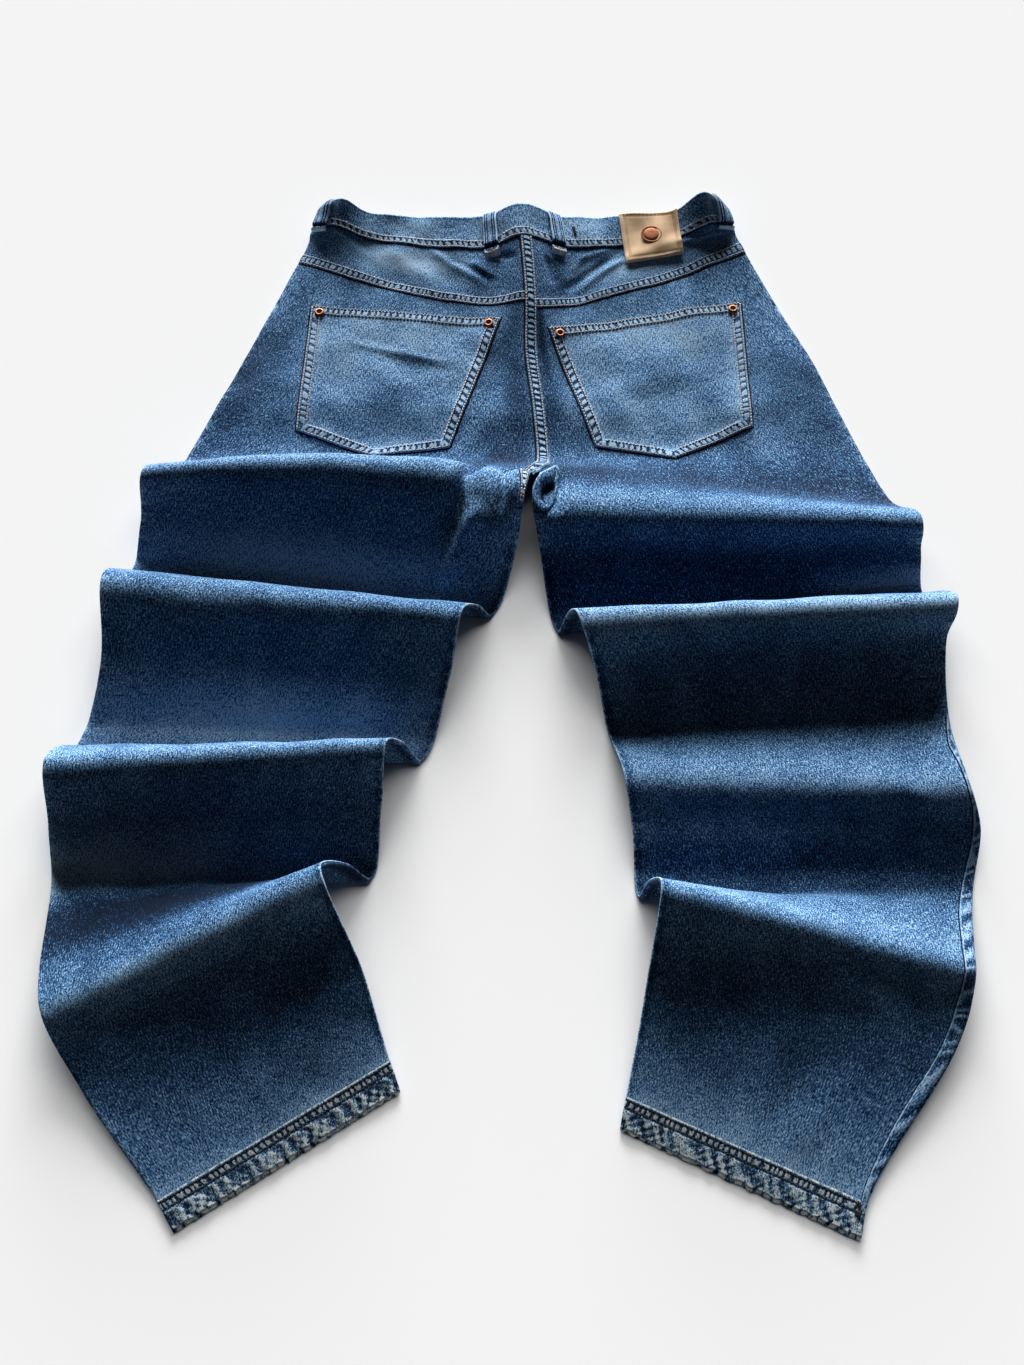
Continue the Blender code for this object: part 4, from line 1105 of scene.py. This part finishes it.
def add_pocket(leg):
    """Make a back pocket with its hem, its turned edges and their stitches."""
    pocket = POCKETS[leg.name]
    edges = pocket_edges(pocket)
    over = MARGIN / POCKET_WEB
    edge_run, middle_run = EDGE_GRAIN / POCKET_WEB, FINE_GRAIN / POCKET_WEB
    stations = graded((-over, 0.075, edge_run), (0.075, 0.925, middle_run), (0.925, 1 + over, edge_run))
    a, b = np.meshgrid(stations, stations)
    plan = pocket_plan(pocket, a, b)
    u, t = leg.find(plan)
    nearest = np.full(a.shape, 9.0)
    seams, owner = [], np.zeros(a.shape, int)
    for index, (start, _, way, side) in enumerate(edges):
        along, away = (plan - start) @ way, (plan - start) @ side
        ticks = tick_count(along, away, *POCKET_TICKS[index], 60 + index)
        seams.append(np.stack((ticks, 1000 * away), -1))
        owner = np.where(away < nearest, index, owner)
        nearest = np.minimum(nearest, away)
    ticks = np.take_along_axis(np.stack([seam[..., 0] for seam in seams]), owner[None], 0)[0]
    rolled = smooth((nearest + 0.0003) / 0.0009)
    high = 0.00015 + rolled * (POCKET_THICKNESS - 0.0006 + strip_height(nearest, FELL, ticks, 0.0007))
    worn = POCKET_WEAR + fades_and_painted_light(leg, u, t) + 0.05 * wander(plan[..., 0] + 0.6 * plan[..., 1], 31, 0.06)
    worn = worn + 0.12 * (1 - smooth((nearest - 0.010) / 0.012))
    pocket_piece = add_cloth(
        f"{leg.name}_pocket_denim", leg.out(u, t, high), leg.out(u, t, np.full(a.shape, 0.00006)), plan, worn,
        face=SEAM_DENIM, seam=np.stack(seams), owner=owner)
    finish_piece(pocket_piece, "denim", f"{leg.name}_pocket")
    share = np.linspace(0.0, 1.0, 60)[:, None]
    for inset in FELL_ROWS:
        for start, stop, way, side in edges:
            path = start + way * inset + (stop - start - way * 2 * inset) * share + side * inset
            pu, pt = leg.find(path)
            SEAM_THREAD.sew(leg.out(pu, pt, POCKET_THICKNESS + 0.0002), leg.normal(pu, pt))
    return pocket_piece


def add_loop(loop):
    """Make a belt loop: a folded strip that dips below the waistband and ends in a frayed tab."""
    leg = LEGS[loop.side]
    last = leg.at["band"] + LOOP_OVERHANG
    half = LOOP_WIDTH / 2 / leg.width(leg.at["band"])
    base = ON_BAND + LAID_ON
    s, w = np.meshgrid(np.linspace(0, 1, 76), np.linspace(-1, 1, 25), indexing="ij")
    u = loop.u + half * w * (1 + 0.05 * wander(s, 19, 0.4) * smooth((s - 0.84) / 0.06))
    dip = bell(s - LOOP_DIP, 0.045)
    arch = LOOP_ARCH * np.minimum(1.0, LOOP_FLAT * np.abs(np.sin(math.pi * s)) ** LOOP_ROUND)
    arch = arch * (1 - 0.85 * dip * smooth((s - LOOP_DIP + 0.10) / 0.08))
    rolled = 1 - 0.75 * np.abs(w) ** 6
    rows = bell(np.abs(w) - 0.55, 0.10)
    ends = smooth(np.minimum(s, 1 - s) / 0.03)
    thick = LOOP_THICKNESS * (0.35 + 0.65 * ends) * rolled * (1 - 0.45 * dip) - 0.0003 * rows
    high = base + arch + thick
    fray = smooth((s - 0.865) / 0.03) * (0.95 + 0.25 * wander(s + 0.4 * w, 29, 0.10) + 0.45 * np.abs(w) ** 3)
    # painted shadow where the loop dips under the waistband's edge; its frayed end and its ends are worn
    # paler
    worn = 0.50 - 1.5 * dip + fray + 0.30 * bell(np.minimum(s, 1 - s), 0.03)
    strip = add_cloth(
        f"{loop.name}_denim", leg.out(u, s * last, high), leg.out(u, s * last, base + arch),
        np.stack((w * LOOP_WIDTH / 2, s * last), -1), worn, face=LOOP_DENIM,
        seam=np.stack((0 * s, 1000 * (1 - np.abs(w)) * LOOP_WIDTH / 2), -1))
    finish_piece(strip, "denim", loop.name)
    if loop.u > 0.5:
        return [strip]
    # the loop's end, folded under the waistband's edge, has frayed to its white weft
    s, w = np.meshgrid(np.linspace(*FRAY, 14), np.linspace(-1, 1, 30), indexing="ij")
    share = (s - FRAY[0]) / (FRAY[1] - FRAY[0])
    ragged = s + 0.010 * wander(w, 137 + leg.sign, 0.5) * (0.4 + share)
    wide = 0.94 + 0.05 * wander(s, 139, 0.05)
    high = base + LOOP_THICKNESS + 0.0022 * np.sin(math.pi * share) + 0.00025 * wander(w + 3 * s, 141, 0.25)
    u, t = loop.u + half * w * wide, ragged * last
    end = add_cloth(f"{loop.name}_frayed_end", leg.out(u, t, high), leg.out(u, t, high - CLOTH / 2),
                    np.stack((w * LOOP_WIDTH / 2, s * last), -1), 0 * s, face=TAN_THREAD, back=TAN_THREAD)
    return [strip, finish_piece(end, "denim")]


def add_hem(leg):
    """Make the turned-up hem, twisted into slanting ropes by washing."""
    start = leg.at["hem"]
    length = leg.width(0.5 * (start + leg.at["end"]))
    along, across = np.meshgrid(
        graded((0, length, FINE_GRAIN)), graded((0, HEM_WIDTH, 0.0009)), indexing="ij")
    # ropes 15 mm apart, which lean with the leg, below the stitches
    slant = 0.40 * leg.sign
    rope = 0.5 + 0.5 * np.cos(2 * math.pi * tick_count(along, across, 0.0150, slant, 121 + leg.sign)
                              + 2.6 * wander(along, 125, 0.04) + 0.8 * wander(across, 126, 0.02))
    low = smooth((across - 0.0092) / 0.002)
    ticks = tick_count(along, across, 0.0049, 0.2, 131 + leg.sign)
    ticks = ticks + 0.35 * wander(along, 133 + leg.sign, 0.012)
    edge = smooth(across / 0.0012)
    turned = np.clip((across - HEM_WIDTH + HEM_TURN) / HEM_TURN, 0, 1)
    grooves = sum(bell(across - row, 0.0009) for row in HEM_ROWS)
    high = HEM_RISE * edge + 0.0012 * rope * low * (1 - turned) - 0.0003 * grooves - 0.0028 * turned ** 1.6
    # its ropes, edges and rim have rubbed unevenly
    chips = wander(along + 0.5 * across, 127, 0.006) * wander(across, 128, 0.010)
    worn = LEG_WEAR + low * (0.58 * (smooth(1.3 * rope) - 0.50) + 0.95 * chips)
    worn = worn + 0.22 * wander(along, 135, 0.009) * bell(across, 0.0020)
    rim = bell(HEM_WIDTH - 0.0014 - across, 0.0020)
    worn = worn + rim * (0.30 + 0.80 * wander(along + 0.8 * across, 129, 0.005))
    worn = worn + turned * (0.90 * wander(along, 138, 0.007) - 0.25)

    def at(s, w, lift):
        frayed = 0.0006 * wander(s, 139 + leg.sign, 0.009) * smooth((w - 0.014) / 0.010)
        return leg.out(s / length, start - 0.0003 + w + frayed, lift)
    piece = add_cloth(
        f"{leg.name}_hem_denim", at(along, across, high),
        at(along, across, np.minimum(-0.0004, high - CLOTH / 2)),
        np.stack((along, across), -1), worn, face=HEM_DENIM,
        seam=np.stack((ticks, 1000 * across), -1))
    finish_piece(piece, "denim")
    for row in HEM_ROWS:
        sew_row(HEM_THREAD, at, np.linspace(0.001, length - 0.001, 160), row, HEM_RISE, thick=0.00038)
    return piece


# Where the right leg's outseam runs, as t and u.
OUTSEAM_LINE = (
    (0.6690, 0.990), (0.6967, 0.975), (0.7139, 0.985), (0.7370, 0.988), (0.7614, 0.983), (0.7813, 0.975),
    (0.8080, 0.969), (0.8405, 0.962), (0.8658, 0.956), (0.8893, 0.958), (0.9138, 0.962), (0.9477, 0.952),
    (0.9843, 0.950), (1.0042, 0.945), (1.0191, 0.946), (1.0354, 0.956), (1.0600, 0.972), (1.0847, 0.974),
)


def add_outseam():
    """Make the right leg's outseam where it shows beside the edge, pressed open and rippled."""
    leg = LEGS["right"]
    line_t, line_u = np.array(OUTSEAM_LINE).T
    t = np.linspace(line_t[0], line_t[-1] - 0.001, 330)
    seam = np.interp(t, line_t, line_u)
    s, k = np.meshgrid(t, np.linspace(0, 1, 20), indexing="ij")
    edge = 0.998
    u = seam[:, None] * (1 - k) + edge * k
    wide = np.maximum(edge - seam[:, None], 0.004) * WEB
    wave = ripple(s, k * 0.010, 0.0180, 0.9, 151)
    high = 0.00065 * smooth(k / 0.12) * smooth((1 - k) / 0.15) + 0.0005 * wave * k * (1 - k) * 4
    worn = 0.50 + 0.75 * (wave - 0.42) * smooth((k - 0.1) / 0.2)
    piece = add_cloth("right_outseam_denim", leg.out(u, s, high), leg.out(u, s, 0 * s - 0.0004),
                      np.stack((k * 0.012, s), -1), worn, face=OUTSEAM_DENIM,
                      seam=np.stack((0 * s, 1000 * k * wide), -1))
    return finish_piece(piece, "denim")


# The curl of the right leg's edge at the crotch: its rim as u, t and height, and its hollow.
CURL_RIM = (
    (0.000, 0.390, 0.0060), (0.000, 0.375, 0.0080), (0.010, 0.362, 0.0100), (0.029, 0.350, 0.0105),
    (0.044, 0.344, 0.0078), (0.054, 0.350, 0.0064), (0.052, 0.361, 0.0050), (0.057, 0.376, 0.0040),
    (0.052, 0.391, 0.0036), (0.036, 0.400, 0.0040), (0.014, 0.400, 0.0046),
)
CURL_HOLLOW = (0.044, 0.384, -0.0045)


def add_curl():
    """Make the small curl of cloth at the crotch: a rim round a dark hollow."""
    rim = np.array(CURL_RIM)
    spots = np.linspace(0, len(rim), 96, endpoint=False)
    k = spots.astype(int)
    s = (spots - k)[:, None]
    before, here, after, beyond = (rim[(k + step) % len(rim)] for step in (-1, 0, 1, 2))
    line = 0.5 * (2 * here + (after - before) * s + (2 * before - 5 * here + 4 * after - beyond) * s ** 2
                  + (3 * here - before - 3 * after + beyond) * s ** 3)
    share = np.linspace(0.0, 0.94, 22)
    fall = smooth((share - 0.25) / 0.6)
    flat = line[:, None, :2] * (1 - share[:, None]) + np.array(CURL_HOLLOW[:2]) * share[:, None]
    lift = line[:, None, 2] * (1 - fall) + CURL_HOLLOW[2] * fall
    lift = lift - 0.0012 * bell(share, 0.05)
    leg = LEGS["right"]
    u, t = flat[..., 0], flat[..., 1]
    bare = 0.30 + 0.50 * bell(spots[:, None] - 2.0, 2.2)
    # a pale worn rim, and painted shade down in the hollow
    worn = 0.42 + bare * 0.85 * bell(share - 0.02, 0.05) - 1.2 * smooth((share - 0.40) / 0.2)
    curl = add_cloth("right_crotch_curl_denim", leg.out(u, t, lift), leg.out(u, t, lift - 0.0012),
                     np.stack((u * WEB, t), -1), worn, ring=True)
    return finish_piece(curl, "denim")


# Dark tacks on the right half: from (u0, t0) to (u1, t1), how high they lie, and how far apart
# their three rows are in u and in t.
Tack = namedtuple("Tack", "u0 t0 u1 t1 rise row_u row_t")
TACKS = (
    Tack(0.245, 0.014, 0.250, 0.026, ON_BAND + 0.0003, 0.0010 / 0.22, 0.0),
    Tack(0.962, 1.0630, 0.985, 1.0640, 0.0018, 0.0, 0.0010),
    Tack(0.960, 1.0700, 0.986, 1.0705, 0.0018, 0.0, 0.0010),
)


def add_tacks():
    """Sew the bar tack on the waistband and the knots where the right outseam meets the hem."""
    leg = LEGS["right"]
    for tack in TACKS:
        for row in (-1, 0, 1):
            u = np.linspace(tack.u0, tack.u1, 12) + row * tack.row_u
            t = np.linspace(tack.t0, tack.t1, 12) + row * tack.row_t
            HEM_THREAD.sew(leg.out(u, t, tack.rise), leg.normal(u, t), pitch=0.0017, share=0.95, thick=0.0006)


# ---------------------------------------------------------------- trim
def patch_plan(a, b):
    """Return points of the patch on the floor plan: a across it and b down it."""
    top_inner, top_outer, low_outer, low_inner = (np.array(corner) for corner in PATCH_CORNERS)
    a, b = a[..., None], b[..., None]
    return (top_inner * (1 - a) + top_outer * a) * (1 - b) + (low_inner * (1 - a) + low_outer * a) * b


def add_patch():
    """Make the leather patch: plain, with a pressed border and a row of stitches round it."""
    leg = LEGS["right"]
    base = ON_BAND + LAID_ON
    across, down = np.meshgrid(np.linspace(0, 1, 84), np.linspace(0, 1, 76))
    plan = patch_plan(across, down)
    u, t = leg.find(plan)
    wide, tall = PATCH_SIZE
    edge = np.minimum(np.minimum(across, 1 - across) * wide, np.minimum(down, 1 - down) * tall)
    border = bell(edge - 0.0042, 0.00045) + bell(edge - 0.0056, 0.00035)
    high = base + PATCH_THICKNESS * (0.55 + 0.45 * smooth(edge / 0.0012)) - 0.0004 * border
    high = high + 0.0003 * wander(plan[..., 0] - 0.7 * plan[..., 1], 43, 0.05)
    worn = 0.50 - 0.30 * border + 0.14 * smooth(1 - edge / 0.002) + 0.05 * wander(plan[..., 1], 47, 0.03)
    patch = add_cloth("leather_patch_hide", leg.out(u, t, high), leg.out(u, t, base),
                      plan, worn, face=LEATHER, back=LEATHER)
    finish_piece(patch, "leather", "leather_patch")
    near, far = 0.035, 0.965
    corners = ((near, near), (far, near), (far, far), (near, far))
    for start, stop in zip(corners, corners[1:] + corners[:1]):
        pu, pt = leg.find(patch_plan(*np.linspace(start, stop, 40).T))
        SEAM_THREAD.sew(leg.out(pu, pt, base + PATCH_THICKNESS - 0.0001), leg.normal(pu, pt),
                        pitch=0.0040, thick=0.00028)
    return patch


def pick_top():
    """Select the faces that look up, of the object in edit mode."""
    bm = bmesh.from_edit_mesh(bpy.context.object.data)
    for face in bm.faces:
        face.select_set(face.normal.z > 0.9)
    bmesh.update_edit_mesh(bpy.context.object.data)


def stepped_disc(name, radius, height, sides, rings, bevel):
    """Turn a short cylinder into a pressed metal disc: its top is inset and moved ring by ring."""
    bpy.ops.object.select_all(action="DESELECT")
    bpy.ops.mesh.primitive_cylinder_add(
        vertices=sides, radius=radius, depth=height, location=(0, 0, height / 2))
    disc = bpy.context.object
    disc.name = name
    bpy.ops.object.mode_set(mode="EDIT")
    pick_top()
    for inset, rise in rings:
        bpy.ops.mesh.inset(thickness=inset * radius, depth=0.0)
        bpy.ops.transform.translate(value=(0, 0, rise * height))
    bpy.ops.object.mode_set(mode="OBJECT")
    soften = disc.modifiers.new("soften", "BEVEL")
    soften.width = bevel
    soften.segments = 2
    soften.limit_method = "ANGLE"
    soften.angle_limit = math.radians(28)
    bpy.ops.object.modifier_apply(modifier="soften")
    bpy.ops.object.shade_smooth_by_angle(angle=math.radians(50))
    return disc


def seat_disc(disc, node, hollow=0.0, polish=0.45):
    """Stand a disc where the part's own node stands, polished towards its top and dark in its hollow."""
    mesh = disc.data
    local = np.array([vertex.co for vertex in mesh.vertices])
    worn = 0.35 + polish * smooth(local[:, 2] / local[:, 2].max())
    worn = np.where(np.hypot(local[:, 0], local[:, 1]) < hollow, 0.05, worn)
    spot = mesh.attributes.new("wear", "FLOAT", "POINT")
    spot.data.foreach_set("value", worn)
    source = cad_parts[node].data
    points = np.array([vertex.co for vertex in source.vertices])
    centre = points.mean(axis=0)
    _, _, axes = np.linalg.svd(points - centre)
    normal = axes[2] * np.sign(axes[2][2])
    low = centre + normal * ((points - centre) @ normal).min()
    matrix = Vector(normal).to_track_quat("Z", "Y").to_matrix().to_4x4()
    matrix.translation = Vector(low)
    mesh.transform(matrix)
    mesh.update()
    mesh.materials.clear()
    mesh.materials.append(COPPER)
    finish_piece(disc, "copper", node)


# The steps of each disc's top: how far in each ring is, of the radius, and how far up, of the height.
RIVET_RINGS = ((0.16, 0.75), (0.18, 0.25), (0.16, -0.55), (0.10, -0.75), (0.12, 0.15), (0.10, 0.75))
ORNAMENT_RINGS = (
    (0.05, 0.30), (0.07, 0.0), (0.04, -0.45), (0.10, 0.0), (0.05, 0.55), (0.22, 0.40), (0.22, 0.15))
BUTTON_RINGS = ((0.08, 0.18), (0.16, 0.0), (0.06, -0.12), (0.20, 0.0), (0.10, 0.20))


def add_metal():
    """Make the rivets, the plain round ornament and the waist button."""
    for side in LEGS:
        for label in ("inner", "outer"):
            node = f"{side}_pocket_{label}_rivet"
            rivet = stepped_disc(f"{node}_copper", RIVET_RADIUS, RIVET_HEIGHT, 36, RIVET_RINGS, 0.00012)
            seat_disc(rivet, node, hollow=0.42 * RIVET_RADIUS)
    ornament = stepped_disc(
        "patch_ornament_copper", ORNAMENT_RADIUS, ORNAMENT_HEIGHT, 64, ORNAMENT_RINGS, 0.00014)
    seat_disc(ornament, "patch_ornament", polish=0.12)
    button = stepped_disc("waist_button_copper", BUTTON_RADIUS, BUTTON_HEIGHT * 0.7, 48, BUTTON_RINGS, 0.0002)
    seat_disc(button, "waist_button")


def add_fly():
    """Make the fly shield that lies inside the front."""
    start = LEGS["left"].at["band"] + FLY_START
    t = np.linspace(start, start + FLY_LENGTH, 60)
    outside, inside, uv = [], [], []
    for count, (name, u) in enumerate(FLY_EDGES):
        line = np.full(t.shape, u)
        inside.append(LEGS[name].front(line, t, CLOTH + LAID_ON))
        outside.append(LEGS[name].front(line, t, 2 * CLOTH + LAID_ON))
        uv.append(np.stack((np.full(t.shape, count * 0.011), t), -1))
    worn = np.full((len(FLY_EDGES), len(t)), 0.5)
    shield = add_cloth("fly_shield_denim", np.array(outside), np.array(inside), np.array(uv), worn)
    return finish_piece(shield, "denim", "fly_shield")


# ---------------------------------------------------------------- floor, light and camera
Sun = namedtuple("Sun", "name azimuth elevation spread strength color")
# A low window behind the waist grazes the cloth, and two softboxes light the floor.
WINDOW = Sun("window", 2, 14, 36, 10.8, (1.0, 0.99, 0.97))
SOFTBOXES = (
    Sun("high_softbox", 0, 52, 70, 2.27, (1.0, 1.0, 1.0)),
    Sun("low_softbox", 0, 18, 32, 4.25, (1.0, 1.0, 1.0)),
)
ROOM_COLOR = (1.0, 0.93, 0.86, 1.0)
ROOM_STRENGTH = 0.022
CAMERA_PLACE = (-0.0013, -0.9506, 1.46)
CAMERA_TILT = 32.1          # degrees from straight down
CAMERA_LENS = 52.56         # millimetres, for a sensor 36 mm wide


def add_sun(sun, lit):
    """Add a distant light that shines from the waist side, on some objects only."""
    light = bpy.data.lights.new(sun.name, "SUN")
    light.energy = sun.strength
    light.angle = math.radians(sun.spread)
    light.color = sun.color
    lamp = bpy.data.objects.new(sun.name, light)
    lamp.rotation_euler = (-math.radians(90 - sun.elevation), 0, math.radians(sun.azimuth))
    bpy.context.scene.collection.objects.link(lamp)
    group = bpy.data.collections.new(sun.name + "_lights")
    for thing in lit:
        group.objects.link(thing)
    lamp.light_linking.receiver_collection = group


def add_floor():
    """Add the pale floor."""
    bpy.ops.object.select_all(action="DESELECT")
    bpy.ops.mesh.primitive_plane_add(size=14, location=(0, 0, -0.0002))
    floor = bpy.context.object
    floor.name = "pale_floor"
    material, tree, shader = start_material("matt_white_paint", 0.95, level=0.1)
    place = add_node(tree, "TexCoord").outputs["Object"]
    cloud = add_node(tree, "TexNoise", None, {"Vector": place, "Scale": 3.0})
    tone = add_node(tree, "MapRange", None, {"Value": cloud.outputs["Fac"], "To Min": 0.885, "To Max": 0.895})
    tree.links.new(tone.outputs["Result"], shader.inputs["Base Color"])
    floor.data.materials.append(material)
    return floor


def add_room():
    """Add the dim warm light of a room, which the camera sees as pale grey."""
    world = bpy.data.worlds.new("pale_room")
    bpy.context.scene.world = world
    world.use_nodes = True
    tree = world.node_tree
    room = tree.nodes["Background"]
    room.inputs["Color"].default_value = ROOM_COLOR
    room.inputs["Strength"].default_value = ROOM_STRENGTH
    seen = add_node(tree, "Background", None, {"Color": linear("#f2f2f2"), "Strength": 1.0})
    path = add_node(tree, "LightPath")
    mix = add_node(tree, "MixShader", None, {
        0: path.outputs["Is Camera Ray"], 1: room.outputs[0], 2: seen.outputs[0]})
    tree.links.new(mix.outputs[0], tree.nodes["World Output"].inputs["Surface"])


def add_camera():
    """Add the camera, which looks down at the garment from beyond the hems."""
    lens = bpy.data.cameras.new("camera")
    lens.lens = CAMERA_LENS
    lens.sensor_width = 36.0
    camera = bpy.data.objects.new("camera", lens)
    camera.location = CAMERA_PLACE
    camera.rotation_euler = (math.radians(CAMERA_TILT), 0, 0)
    bpy.context.scene.collection.objects.link(camera)
    bpy.context.scene.camera = camera


# ---------------------------------------------------------------- make it all
bpy.ops.object.select_all(action="DESELECT")
on_panel = {"left": [], "right": []}
panels, yokes, pockets = {}, {}, {}
for side, leg in LEGS.items():
    panels[side] = add_panels(leg)
    yokes[side] = add_yoke(leg)
    pockets[side] = add_pocket(leg)
    on_panel[side] += [add_yoke_seam(leg), add_hem(leg)]
on_panel["right"] += [add_outseam(), add_curl()]
on_panel["left"].append(add_centre_seam())
waistband = add_waistband()
on_band = [piece for loop in LOOPS for piece in add_loop(loop)]
on_band.append(add_patch())
add_metal()
shield = add_fly()
add_tacks()
SEAM_THREAD.finish(on_panel["left"])
HEM_THREAD.finish(on_panel["right"])

floor = add_floor()
add_sun(WINDOW, [thing for thing in bpy.data.objects if thing.type == "MESH" and thing is not floor])
for softbox in SOFTBOXES:
    add_sun(softbox, [floor])
add_room()
add_camera()
bpy.context.scene.view_settings.view_transform = "Standard"
